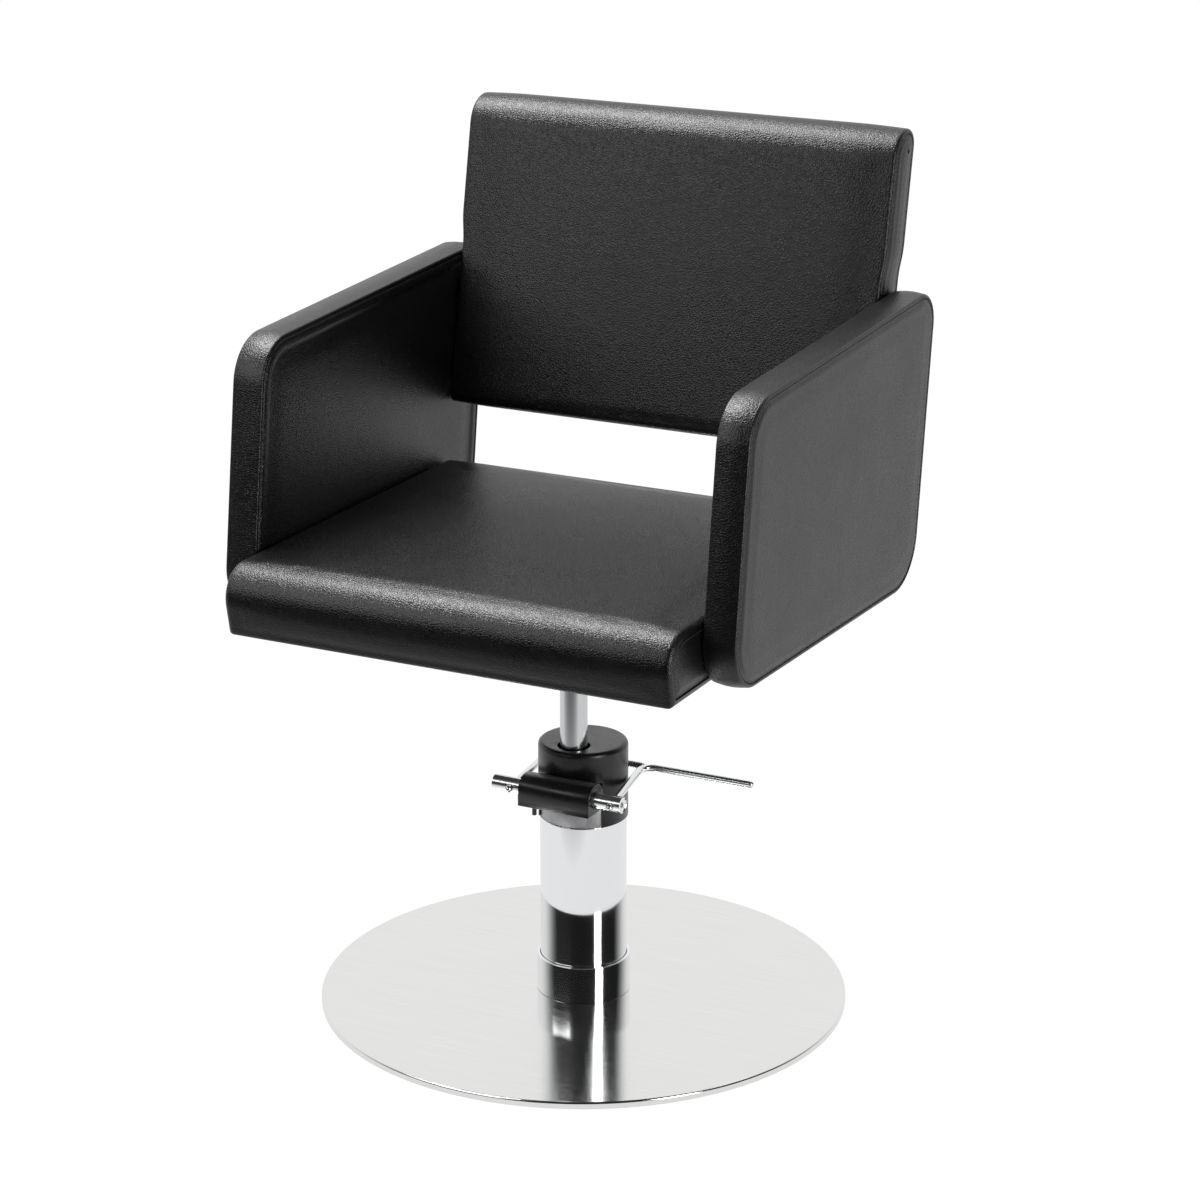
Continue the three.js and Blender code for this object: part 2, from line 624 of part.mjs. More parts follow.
function buildRamAndHub() {
  addTo(chair, "ram", upright(RAM_RADIUS, RAM_BOTTOM, RAM_TOP, 0, RAM_Y, SEGMENTS), chrome);

  const bore = RAM_RADIUS + GAP;
  const hub = [
    [0, RAM_TOP + GAP],
    [bore, RAM_TOP + GAP],
    [bore, HUB_BOTTOM],
    [HUB_RADIUS - 2, HUB_BOTTOM],
    [HUB_RADIUS, HUB_BOTTOM + 2],
    [HUB_RADIUS, HUB_BOTTOM + 36],
    [HUB_FLARE_RADIUS, hubTop - 8],
    [HUB_FLARE_RADIUS, hubTop],
    [0, hubTop],
  ];
  const screwZ = HUB_BOTTOM + 16;
  const screwFrom = RAM_Y + RAM_RADIUS + GAP;
  const alongY = (radius, from, to, sides) =>
    new THREE.CylinderGeometry(radius, radius, to - from, sides).translate(0, (from + to) / 2, screwZ);
  const screwHole = alongY(BOLT_RADIUS + GAP, RAM_Y + 10, RAM_Y + 40, SMALL_SEGMENTS);
  addTo(chair, "seat_hub", cut(turned(hub, RAM_Y), screwHole), ironwork);
  const socket = alongY(2.3, RAM_Y + HUB_RADIUS - 1, RAM_Y + 40, 6);
  const screw = alongY(BOLT_RADIUS, screwFrom, RAM_Y + HUB_RADIUS + 3, SMALL_SEGMENTS);
  addTo(chair, "hub_screw", cut(screw, socket), steel);

  const low = RAM_Y - SEAT_PLATE_HALF;
  const high = RAM_Y + SEAT_PLATE_HALF;
  const outline = rounded(
    [
      [-SEAT_PLATE_HALF, low, 15],
      [SEAT_PLATE_HALF, low, 15],
      [SEAT_PLATE_HALF, high, 15],
      [-SEAT_PLATE_HALF, high, 15],
    ],
    4,
  );
  const holes = plateBoltPlaces().map(([x, y]) => upright(BOLT_HOLE, SEAT_BOTTOM - 10, FRAME_TOP, x, y));
  const plate = upwards(outline, seatPlateBottom, seatPlateTop);
  addTo(chair, "seat_plate", cut(plate, ...holes), ironwork);
  plateBoltPlaces().forEach(([x, y], i) => {
    const hexagon = upright(7.5, seatPlateBottom - GAP - 5.3, seatPlateBottom - GAP, x, y, 6);
    const shank = upright(BOLT_RADIUS, seatPlateBottom - 1, CROSS_BOARD_TOP - 4, x, y);
    addTo(chair, `plate_bolt_${i + 1}`, join(hexagon, shank), steel);
  });
}

// ---------------------------------------------------------------- seat
const armBoltPlaces = [["front", -180], ["rear", 110]];

function sideBlock(side, near, far, y0, y1, z0, z1) {
  return side > 0 ? block(near, far, y0, y1, z0, z1) : block(-far, -near, y0, y1, z0, z1);
}

const seatOutline = [
  [SEAT_FOOT_Y, SEAT_BOTTOM, 4],
  [SEAT_REAR_Y, SEAT_BOTTOM, 0],
  [SEAT_REAR_Y, SEAT_TOP, 8],
  [SEAT_BROW_Y, SEAT_TOP - 1, SEAT_ROLL],
];

function armBoltHoles(radius) {
  return armBoltPlaces.map(([, y]) => crosswise(radius, -274, 274, y, ARM_BOLT_Z));
}

function buildSeat() {
  sideNames.forEach(([name, side]) => {
    const across = [FRAME_HALF_WIDTH - RAIL_WIDTH, FRAME_HALF_WIDTH];
    const rail = sideBlock(side, ...across, FRAME_FRONT_Y, FRAME_REAR_Y, SEAT_BOTTOM, FRAME_TOP);
    addTo(chair, `seat_rail_${name}`, cut(rail, ...armBoltHoles(BOLT_HOLE)), plywood);
  });
  const railInner = FRAME_HALF_WIDTH - RAIL_WIDTH - GAP;
  const crossFront = RAM_Y - SEAT_PLATE_HALF;
  const crossRear = RAM_Y + SEAT_PLATE_HALF;
  const crossBoard = block(-railInner, railInner, crossFront, crossRear, SEAT_BOTTOM, CROSS_BOARD_TOP);
  const plateHoles = plateBoltPlaces().map(([x, y]) =>
    upright(BOLT_HOLE, SEAT_BOTTOM - 9, CROSS_BOARD_TOP - 3, x, y),
  );
  const rearBoltRoom = block(-300, 300, 95, 125, SEAT_BOTTOM - 1, FRAME_TOP);
  addTo(chair, "seat_cross_board", cut(crossBoard, ...plateHoles, rearBoltRoom), plywood);

  const boardBottom = FRAME_TOP + GAP;
  const boardTop = boardBottom + BOARD;
  const halfWidth = FRAME_HALF_WIDTH;
  const board = block(-halfWidth, halfWidth, FRAME_FRONT_Y, FRAME_REAR_Y, boardBottom, boardTop);
  addTo(chair, "seat_board", board, plywood);

  const liningTop = SEAT_BOTTOM - GAP;
  const lining = block(-halfWidth, halfWidth, FRAME_FRONT_Y, FRAME_REAR_Y, liningTop - 1.5, liningTop);
  const reach = SEAT_PLATE_HALF + 2;
  const plateRoom = block(-reach, reach, RAM_Y - reach, RAM_Y + reach, 0, 600);
  addTo(chair, "dust_cover", cut(lining, plateRoom), liner);

  const foamOutline = rounded(inset(seatOutline, COVER + GAP));
  const padHalf = SEAT_HALF_WIDTH - COVER - GAP;
  const woodRoom = block(
    -FRAME_HALF_WIDTH - GAP,
    FRAME_HALF_WIDTH + GAP,
    FRAME_FRONT_Y - GAP,
    FRAME_REAR_Y + GAP,
    SEAT_BOTTOM - 10,
    boardTop + GAP,
  );
  const padding = cut(sideways(foamOutline, -padHalf, padHalf), woodRoom, ...armBoltHoles(SKIN_HOLE));
  addTo(chair, "seat_foam", padding, foam);

  const skinInside = inset(seatOutline, COVER).map(([y, z, radius], i) => [y, i < 2 ? z - 20 : z, radius]);
  const skinHalf = SEAT_HALF_WIDTH - COVER;
  const skin = cut(
    sideways(rounded(seatOutline), -SEAT_HALF_WIDTH, SEAT_HALF_WIDTH),
    sideways(rounded(skinInside), -skinHalf, skinHalf),
    ...armBoltHoles(SKIN_HOLE),
  );
  addTo(chair, "seat_cover", skin, leatherette);
}

// ---------------------------------------------------------------- back
const recline = THREE.MathUtils.degToRad(BACK_RECLINE);
const studPlaces = [["lower", 40], ["upper", 120]]; // heights along the back
const STUD_DEPTH = 42; // from the back's front face

// A place in the back's own leaning frame, as chair (y, z).
function onBack(depth, height) {
  return [
    BACK_Y + depth * Math.cos(recline) + height * Math.sin(recline),
    BACK_Z - depth * Math.sin(recline) + height * Math.cos(recline),
  ];
}

function leaningOutline(corners) {
  return corners.map(([depth, height, radius]) => [...onBack(depth, height), radius]);
}

function studHoles(radius) {
  return studPlaces.map(([, height]) => crosswise(radius, -274, 274, ...onBack(STUD_DEPTH, height)));
}

function buildBack() {
  const outline = leaningOutline([
    [0, 0, 8],
    [BACK_THICKNESS, 0, 8],
    [BACK_THICKNESS, BACK_HEIGHT, 20],
    [0, BACK_HEIGHT, 27],
  ]);
  const boardRear = BACK_THICKNESS - COVER - GAP - 0.5;
  const boardOutline = (spare, rear) =>
    rounded(
      leaningOutline([
        [BACK_BOARD_FRONT - spare, BACK_BOARD_LOW - spare, 0],
        [rear, BACK_BOARD_LOW - spare, 0],
        [rear, BACK_BOARD_HIGH + spare, 0],
        [BACK_BOARD_FRONT - spare, BACK_BOARD_HIGH + spare, 0],
      ]),
    );
  const half = BACK_BOARD_HALF_WIDTH;
  const board = sideways(boardOutline(0, boardRear), -half, half);
  addTo(chair, "back_board", cut(board, ...studHoles(BOLT_HOLE)), plywood);

  const foamHalf = BACK_HALF_WIDTH - COVER - GAP;
  const padding = cut(
    sideways(rounded(inset(outline, COVER + GAP)), -foamHalf, foamHalf),
    sideways(boardOutline(GAP, BACK_THICKNESS + 10), -half - GAP, half + GAP),
    ...studHoles(SKIN_HOLE),
  );
  addTo(chair, "back_foam", padding, foam);

  const skinHalf = BACK_HALF_WIDTH - COVER;
  const skin = cut(
    sideways(rounded(outline), -BACK_HALF_WIDTH, BACK_HALF_WIDTH),
    sideways(rounded(inset(outline, COVER)), -skinHalf, skinHalf),
    ...studHoles(SKIN_HOLE),
  );
  addTo(chair, "back_cover", skin, leatherette);
}

// ---------------------------------------------------------------- arms
const armOutline = [
  [-253.5, 470.3, 50],
  [219.8, 457, 62],
  [263.3, 780, 36],
  [-215.5, 759.5, 54],
];

function armPiece(side, corners, near, far) {
  return side > 0 ? sideways(corners, near, far) : sideways(corners, -far, -near);
}

function buildArms() {
  const paddingInner = ARM_INNER_X + COVER + GAP;
  const paddingOuter = ARM_OUTER_X - COVER - GAP;
  sideNames.forEach(([name, side]) => {
    const coreOutline = rounded(inset(armOutline, ARM_CORE_INSET));
    const core = armPiece(side, coreOutline, ARM_CORE_INNER_X, ARM_CORE_OUTER_X);
    const coreHoles = [...armBoltHoles(BOLT_HOLE), ...studHoles(BOLT_HOLE)];
    addTo(chair, `arm_core_${name}`, cut(core, ...coreHoles), plywood);

    const pocketOutline = rounded(inset(armOutline, ARM_CORE_INSET - GAP));
    const padding = cut(
      armPiece(side, rounded(inset(armOutline, COVER + GAP)), paddingInner, paddingOuter),
      armPiece(side, pocketOutline, ARM_CORE_INNER_X - GAP, ARM_CORE_OUTER_X + GAP),
      ...armBoltHoles(SKIN_HOLE),
      ...studHoles(SKIN_HOLE),
    );
    addTo(chair, `arm_foam_${name}`, padding, foam);

    const skin = cut(
      armPiece(side, rounded(armOutline), ARM_INNER_X, ARM_OUTER_X),
      armPiece(side, rounded(inset(armOutline, COVER)), ARM_INNER_X + COVER, ARM_OUTER_X - COVER),
      ...armBoltHoles(SKIN_HOLE),
      ...studHoles(SKIN_HOLE),
    );
    addTo(chair, `arm_cover_${name}`, skin, leatherette);
  });
}

// Bolts hold the arms to the seat's rails, and studs hold the back between the arms.
function buildArmFasteners() {
  const boltEnd = 272;
  const headFar = FRAME_HALF_WIDTH - RAIL_WIDTH - GAP;
  sideNames.forEach(([name, side]) => {
    armBoltPlaces.forEach(([where, y]) => {
      const head = crosswise(7.5, side * (headFar - 5.3), side * headFar, y, ARM_BOLT_Z, 6);
      const shank = crosswise(BOLT_RADIUS, side * (headFar - 1), side * boltEnd, y, ARM_BOLT_Z);
      addTo(chair, `arm_bolt_${name}_${where}`, join(head, shank), steel);
    });
    studPlaces.forEach(([where, height]) => {
      const [y, z] = onBack(STUD_DEPTH, height);
      const stud = crosswise(BOLT_RADIUS, side * (BACK_BOARD_HALF_WIDTH - 22), side * boltEnd, y, z);
      addTo(chair, `back_stud_${name}_${where}`, stud, steel);
    });
  });
}

buildBase();
buildPumpInside();
buildPumpHead();
buildCap();
buildHousing();
buildLever();
buildRocker();
buildRamAndHub();
buildSeat();
buildBack();
buildArms();
buildArmFasteners();

export default chair;
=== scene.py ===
import json
import math

import bmesh
import bpy
import numpy as np
from mathutils import Matrix, Vector, kdtree


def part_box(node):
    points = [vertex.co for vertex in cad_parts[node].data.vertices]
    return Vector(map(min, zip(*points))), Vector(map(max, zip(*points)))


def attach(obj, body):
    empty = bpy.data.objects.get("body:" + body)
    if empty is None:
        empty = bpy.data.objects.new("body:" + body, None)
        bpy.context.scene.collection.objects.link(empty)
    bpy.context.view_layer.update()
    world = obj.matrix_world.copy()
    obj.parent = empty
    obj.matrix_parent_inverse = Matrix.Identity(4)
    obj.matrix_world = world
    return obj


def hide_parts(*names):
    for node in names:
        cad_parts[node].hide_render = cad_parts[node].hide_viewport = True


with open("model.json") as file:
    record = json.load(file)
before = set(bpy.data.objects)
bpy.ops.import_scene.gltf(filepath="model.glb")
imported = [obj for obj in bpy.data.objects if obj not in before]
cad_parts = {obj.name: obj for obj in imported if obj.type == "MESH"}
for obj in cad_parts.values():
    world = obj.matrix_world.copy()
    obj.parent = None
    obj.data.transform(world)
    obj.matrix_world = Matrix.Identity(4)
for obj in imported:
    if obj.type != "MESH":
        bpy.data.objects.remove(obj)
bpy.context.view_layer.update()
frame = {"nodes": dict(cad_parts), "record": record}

MM = 0.001
SCENE = bpy.context.scene
SIDES = (("right", -1), ("left", 1))  # the sitter's right is at -X


# ---------------------------------------------------------------- camera
CAMERA_PLACE = Vector((1.5716, -3.0566, 1.5850))
CAMERA_AZIMUTH = math.radians(26.9076)
CAMERA_PITCH = math.radians(18.1485)
CAMERA_LENS = 101.51


def make_camera():
    data = bpy.data.cameras.new("camera")
    data.lens = CAMERA_LENS
    data.sensor_width = 36
    camera = bpy.data.objects.new("camera", data)
    camera.location = CAMERA_PLACE
    camera.rotation_euler = (math.pi / 2 - CAMERA_PITCH, 0, CAMERA_AZIMUTH)
    SCENE.collection.objects.link(camera)
    SCENE.camera = camera


# ---------------------------------------------------------------- node helpers
class Finish:
    """A Principled material whose uniform values sit on the shader's own sockets."""

    def __init__(self, name, colour, roughness, metallic=0.0, **sockets):
        self.material = bpy.data.materials.new(name)
        self.material.use_nodes = True
        self.tree = self.material.node_tree
        self.shader = self.tree.nodes["Principled BSDF"]
        self.shader.inputs["Base Color"].default_value = (*colour, 1)
        self.shader.inputs["Roughness"].default_value = roughness
        self.shader.inputs["Metallic"].default_value = metallic
        for socket, value in sockets.items():
            self.shader.inputs[socket.replace("_", " ")].default_value = value
        self.coordinates = self.tree.nodes.new("ShaderNodeTexCoord").outputs["Object"]

    def node(self, kind, inputs=None, **settings):
        made = self.tree.nodes.new("ShaderNode" + kind)
        for key, value in settings.items():
            setattr(made, key, value)
        for key, value in (inputs or {}).items():
            if isinstance(value, bpy.types.NodeSocket):
                self.tree.links.new(value, made.inputs[key])
            else:
                made.inputs[key].default_value = value
        return made

    def link(self, output, socket):
        self.tree.links.new(output, self.shader.inputs[socket])

    def stretched(self, scale):
        return self.node("Mapping", {"Vector": self.coordinates, "Scale": scale}).outputs[0]

    def noise(self, scale, detail=3.0, roughness=0.5, vector=None):
        inputs = {
            "Vector": vector or self.coordinates,
            "Scale": scale,
            "Detail": detail,
            "Roughness": roughness,
        }
        return self.node("TexNoise", inputs).outputs["Fac"]

    def spread(self, value, low, high, to_low, to_high):
        inputs = {0: value, 1: low, 2: high, 3: to_low, 4: to_high}
        return self.node("MapRange", inputs, clamp=True).outputs[0]

    def math(self, operation, a, b=0.0):
        return self.node("Math", {0: a, 1: b}, operation=operation).outputs[0]

    def mixed(self, factor, first, second):
        ramp = self.node("ValToRGB", {"Fac": factor})
        ramp.color_ramp.elements[0].color = (*first, 1)
        ramp.color_ramp.elements[1].color = (*second, 1)
        return ramp.outputs["Color"]

    def bump(self, height, distance, strength):
        inputs = {"Height": height, "Distance": distance, "Strength": strength}
        self.link(self.node("Bump", inputs).outputs["Normal"], "Normal")


# ---------------------------------------------------------------- materials
def leatherette():
    made = Finish("leatherette", (0.002, 0.002, 0.0022), 0.3, Specular_IOR_Level=0.5)
    wander = made.node("TexNoise", {"Vector": made.coordinates, "Scale": 150.0, "Detail": 1.0})
    warp = {0: wander.outputs["Color"], 1: (0.0022, 0.0022, 0.0022), 2: made.coordinates}
    warped = made.node("VectorMath", warp, operation="MULTIPLY_ADD").outputs[0]
    inputs = {"Vector": warped, "Scale": 400.0, "Randomness": 1.0}
    cells = made.node("TexVoronoi", inputs, feature="DISTANCE_TO_EDGE").outputs["Distance"]
    pebble = made.spread(cells, 0.0, 0.32, 0.0, 1.0)
    soft = made.math("MULTIPLY", made.noise(75, 2), 0.7)
    made.bump(made.math("ADD", pebble, soft), 0.2 * MM, 0.85)
    broad = made.noise(14, 3)
    worn = made.spread(broad, 0.3, 0.7, 0.26, 0.31)
    made.link(made.math("ADD", worn, made.spread(pebble, 0, 1, 0.1, 0.0)), "Roughness")
    tone = made.spread(broad, 0.3, 0.7, 0, 1)
    made.link(made.mixed(tone, (0.0015, 0.0015, 0.0017), (0.0026, 0.0026, 0.0028)), "Base Color")
    return made.material


def thread():
    made = Finish("thread", (0.02, 0.02, 0.021), 0.5, Sheen_Weight=0.3)
    twist = made.noise(2200, 2)
    made.bump(twist, 0.1 * MM, 0.6)
    return made.material


def brushed_stainless():
    made = Finish("brushed_stainless", (0.84, 0.84, 0.835), 0.1, 1.0)
    lines = made.noise(1.0, 3, 0.6, made.stretched((60, 2600, 60)))
    coarse = made.noise(1.0, 2, 0.5, made.stretched((9, 420, 9)))
    haze = made.noise(5, 2)
    brushed = made.spread(lines, 0.3, 0.75, 0.05, 0.17)
    made.link(made.math("ADD", brushed, made.spread(haze, 0.3, 0.7, 0.0, 0.03)), "Roughness")
    tone = made.spread(coarse, 0.3, 0.7, 0, 1)
    made.link(made.mixed(tone, (0.79, 0.79, 0.785), (0.82, 0.82, 0.812)), "Base Color")
    made.bump(lines, 0.01 * MM, 0.12)
    return made.material


def polished(name, colour, roughness):
    made = Finish(name, colour, roughness, 1.0)
    smear = made.noise(9, 3)
    made.link(made.spread(smear, 0.35, 0.75, roughness, roughness + 0.05), "Roughness")
    made.bump(made.noise(30, 2), 0.05 * MM, 0.08)
    return made.material


def turned_steel():
    made = Finish("ram_steel", (0.62, 0.63, 0.64), 0.16, 1.0)
    rings = made.noise(1.0, 2, 0.5, made.stretched((4, 4, 2400)))
    made.link(made.spread(rings, 0.3, 0.7, 0.12, 0.24), "Roughness")
    made.bump(rings, 0.01 * MM, 0.3)
    return made.material


def plain_steel():
    made = Finish("zinc_steel", (0.42, 0.43, 0.44), 0.36, 1.0)
    blotch = made.noise(90, 4)
    made.link(made.spread(blotch, 0.3, 0.7, 0.28, 0.46), "Roughness")
    made.link(made.mixed(blotch, (0.34, 0.35, 0.36), (0.50, 0.51, 0.52)), "Base Color")
    made.bump(made.noise(600, 2), 0.03 * MM, 0.3)
    return made.material


def black_paint():
    made = Finish("black_paint", (0.022, 0.023, 0.025), 0.38)
    made.bump(made.noise(420, 3), 0.08 * MM, 0.4)
    made.link(made.spread(made.noise(40, 3), 0.3, 0.7, 0.32, 0.46), "Roughness")
    made.link(made.mixed(made.noise(25, 3), (0.018, 0.019, 0.020), (0.032, 0.033, 0.035)), "Base Color")
    return made.material


def cast_aluminium():
    made = Finish("cast_aluminium", (0.40, 0.40, 0.41), 0.42, 0.85)
    grain = made.noise(900, 3)
    made.bump(grain, 0.06 * MM, 0.4)
    made.link(made.spread(made.noise(120, 3), 0.3, 0.7, 0.36, 0.5), "Roughness")
    made.link(made.mixed(grain, (0.36, 0.36, 0.37), (0.45, 0.45, 0.46)), "Base Color")
    return made.material


def bronze():
    made = Finish("bronze", (0.50, 0.33, 0.14), 0.34, 1.0)
    made.link(made.mixed(made.noise(80, 4), (0.42, 0.27, 0.11), (0.58, 0.40, 0.19)), "Base Color")
    made.link(made.spread(made.noise(200, 3), 0.3, 0.7, 0.28, 0.42), "Roughness")
    return made.material


def moulded_plastic():
    made = Finish("moulded_plastic", (0.006, 0.006, 0.0065), 0.3, Specular_IOR_Level=0.5)
    skin = made.noise(1500, 2)
    made.bump(skin, 0.03 * MM, 0.35)
    made.link(made.spread(made.noise(60, 3), 0.3, 0.7, 0.26, 0.36), "Roughness")
    # Faces that look straight up are mixed towards grey in patches: a painted sheen on their tops.
    up = made.node("SeparateXYZ", {0: made.node("NewGeometry").outputs["Normal"]}).outputs["Z"]
    patchy = made.spread(made.noise(45, 4), 0.2, 0.8, 0.7, 1.0)
    painted_top_sheen = made.math("MULTIPLY", made.spread(up, 0.93, 1.0, 0, 1), patchy)
    made.link(made.mixed(painted_top_sheen, (0.006, 0.006, 0.0065), (0.075, 0.075, 0.075)), "Base Color")
    return made.material


def rubber():
    made = Finish("rubber", (0.012, 0.012, 0.012), 0.8)
    made.bump(made.noise(700, 3), 0.15 * MM, 0.6)
    made.link(made.mixed(made.noise(50, 3), (0.009, 0.009, 0.009), (0.018, 0.018, 0.018)), "Base Color")
    return made.material


def plywood():
    made = Finish("plywood", (0.48, 0.30, 0.14), 0.62)
    plies = made.node(
        "TexWave", {"Vector": made.coordinates, "Scale": 110.0, "Distortion": 0.4}, bands_direction="Z"
    ).outputs["Fac"]
    figure = made.noise(1.0, 4, 0.6, made.stretched((14, 180, 180)))
    tone = made.math("ADD", made.math("MULTIPLY", plies, 0.4), made.math("MULTIPLY", figure, 0.6))
    made.link(made.mixed(tone, (0.33, 0.19, 0.08), (0.62, 0.43, 0.23)), "Base Color")
    made.bump(figure, 0.1 * MM, 0.4)
    return made.material


def lining_cloth():
    made = Finish("lining_cloth", (0.02, 0.02, 0.02), 0.9, Sheen_Weight=0.2)
    fibres = made.noise(1.0, 4, 0.7, made.stretched((900, 500, 900)))
    made.bump(fibres, 0.2 * MM, 0.7)
    made.link(made.mixed(fibres, (0.010, 0.010, 0.010), (0.035, 0.035, 0.036)), "Base Color")
    return made.material


# ---------------------------------------------------------------- mesh helpers
def add_object(name, mesh, material, body, replaces=()):
    made = bpy.data.objects.new(name, mesh)
    SCENE.collection.objects.link(made)
    mesh.materials.clear()
    mesh.materials.append(material)
    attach(made, body)
    if replaces:
        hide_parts(*replaces)
    return made


def mesh_from(name, points, faces, smooth_angle=40):
    mesh = bpy.data.meshes.new(name)
    mesh.from_pydata([tuple(p) for p in points], [], faces)
    shape = bmesh.new()
    shape.from_mesh(mesh)
    bmesh.ops.remove_doubles(shape, verts=shape.verts, dist=1e-6)
    bmesh.ops.recalc_face_normals(shape, faces=shape.faces)
    shape.to_mesh(mesh)
    shape.free()
    shade(mesh, smooth_angle)
    return mesh


def shade(mesh, angle):
    mesh.polygons.foreach_set("use_smooth", [True] * len(mesh.polygons))
    mesh.set_sharp_from_angle(angle=math.radians(angle))
    mesh.update()


def corner_frame(before, here, after):
    """The corner's place, the unit directions back and on along its sides, and half its angle."""
    corner = np.array(here[:2], float)
    back = np.array(before[:2], float) - corner
    on = np.array(after[:2], float) - corner
    back /= np.linalg.norm(back)
    on /= np.linalg.norm(on)
    return corner, back, on, math.acos(float(back @ on)) / 2


def corner_arc(before, here, after, steps):
    """The points of the arc that rounds an outline's (u, v, radius) corner."""
    corner, back, on, half = corner_frame(before, here, after)
    radius = here[2]
    middle = (back + on) / np.linalg.norm(back + on)
    centre = corner + middle * radius / math.sin(half)
    start = corner + back * radius / math.tan(half) - centre
    side = math.copysign(1, back[0] * on[1] - back[1] * on[0])
    points = []
    for k in range(steps + 1):
        turn = -side * (math.pi - 2 * half) * k / steps
        c, s = math.cos(turn), math.sin(turn)
        points.append(centre + (c * start[0] - s * start[1], s * start[0] + c * start[1]))
    return points


def around(corners):
    """Each corner with its neighbours on both sides."""
    count = len(corners)
    return [(corners[i - 1], corners[i], corners[(i + 1) % count]) for i in range(count)]


def rounded(corners, steps=6):
    """A closed outline whose (u, v, radius) corners are rounded by arcs."""
    return np.array([p for three in around(corners) for p in corner_arc(*three, steps)])


def turned(name, profile, centre=(0, 0), segments=160, smooth_angle=35):
    """A turned solid about a vertical axis; the closed (radius, z) profile may touch the axis."""
    points, faces = [], []
    angles = [2 * math.pi * k / segments for k in range(segments)]
    count = len(profile)
    for angle in angles:
        c, s = math.cos(angle), math.sin(angle)
        points += [(centre[0] + r * c, centre[1] + r * s, z) for r, z in profile]
    for k in range(segments):
        here, there = k * count, (k + 1) % segments * count
        for i in range(count):
            j = (i + 1) % count
            faces.append((here + i, here + j, there + j, there + i))
    mesh = bpy.data.meshes.new(name)
    mesh.from_pydata(points, [], faces)
    shape = bmesh.new()
    shape.from_mesh(mesh)
    bmesh.ops.remove_doubles(shape, verts=shape.verts, dist=1e-7)
    bmesh.ops.dissolve_degenerate(shape, edges=shape.edges, dist=1e-7)
    bmesh.ops.recalc_face_normals(shape, faces=shape.faces)
    shape.to_mesh(mesh)
    shape.free()
    shade(mesh, smooth_angle)
    return mesh


def sideways(name, outline, x0, x1, edge=0.0, edge_steps=3, smooth_angle=35):
    """A (y, z) outline extruded along X, with its end edges rounded by a small radius."""
    centre = outline.mean(0)
    rows = []
    for k in range(edge_steps + 1):
        turn = math.pi / 2 * k / edge_steps
        rows.append((x0 + edge * (1 - math.sin(turn)), edge * (1 - math.cos(math.pi / 2 - turn))))
    rows += [(x0 + x1 - x, inset) for x, inset in reversed(rows)]
    count = len(outline)
    on = np.roll(outline, -1, 0) - np.roll(outline, 1, 0)
    normal = np.stack([on[:, 1], -on[:, 0]], 1) / np.linalg.norm(on, axis=1)[:, None]
    if ((outline - centre) * normal).sum() < 0:
        normal = -normal
    points, faces = [], []
    for x, inset in rows:
        ring = outline - normal * inset
        points += [(x, y, z) for y, z in ring]
    for r in range(len(rows) - 1):
        for i in range(count):
            j = (i + 1) % count
            faces.append((r * count + i, r * count + j, (r + 1) * count + j, (r + 1) * count + i))
    faces.append(tuple(range(count)))
    faces.append(tuple(range((len(rows) - 1) * count, len(rows) * count)))
    return mesh_from(name, points, faces, smooth_angle)


def rod(name, corners, radius, bend, sides=24):
    """A round-ended rod along straight runs joined by arcs of one bend radius."""
    path = [Vector(corners[0])]
    for i in range(1, len(corners) - 1):
        here = Vector(corners[i])
        back = (Vector(corners[i - 1]) - here).normalized()
        on = (Vector(corners[i + 1]) - here).normalized()
        half = back.angle(on) / 2
        reach = bend / math.tan(half)
        centre = here + (back + on).normalized() * bend / math.sin(half)
        start = here + back * reach - centre
        axis = back.cross(on).normalized()
        for k in range(9):
            path.append(centre + Matrix.Rotation(-(math.pi - 2 * half) * k / 8, 3, axis) @ start)
    path.append(Vector(corners[-1]))
    first = (path[0] - path[1]).normalized()
    end = (path[-1] - path[-2]).normalized()
    tips = [(radius * math.sin(a), radius * math.cos(a)) for a in np.linspace(0.25, 1.5, 5)]
    sections = [(path[0] + first * along, wide) for along, wide in reversed(tips)]
    sections += [(p, radius) for p in path]
    sections += [(path[-1] + end * along, wide) for along, wide in tips]
    places = [p for p, _ in sections]
    last = len(places) - 1
    tangents = [
        (places[min(i + 1, last)] - places[max(i - 1, 0)]).normalized() for i in range(last + 1)
    ]
    across = tangents[0].orthogonal().normalized()
    points, faces = [], []
    for i, (place, wide) in enumerate(sections):
        across = (across - tangents[i] * across.dot(tangents[i])).normalized()
        up = tangents[i].cross(across)
        for k in range(sides):
            a = 2 * math.pi * k / sides
            points.append(place + (across * math.cos(a) + up * math.sin(a)) * wide)
    for i in range(len(sections) - 1):
        for k in range(sides):
            n = (k + 1) % sides
            faces.append((i * sides + k, i * sides + n, (i + 1) * sides + n, (i + 1) * sides + k))
    faces.append(tuple(range(sides)))
    faces.append(tuple(range((len(sections) - 1) * sides, len(sections) * sides)))
    return mesh_from(name, points, faces, 60)


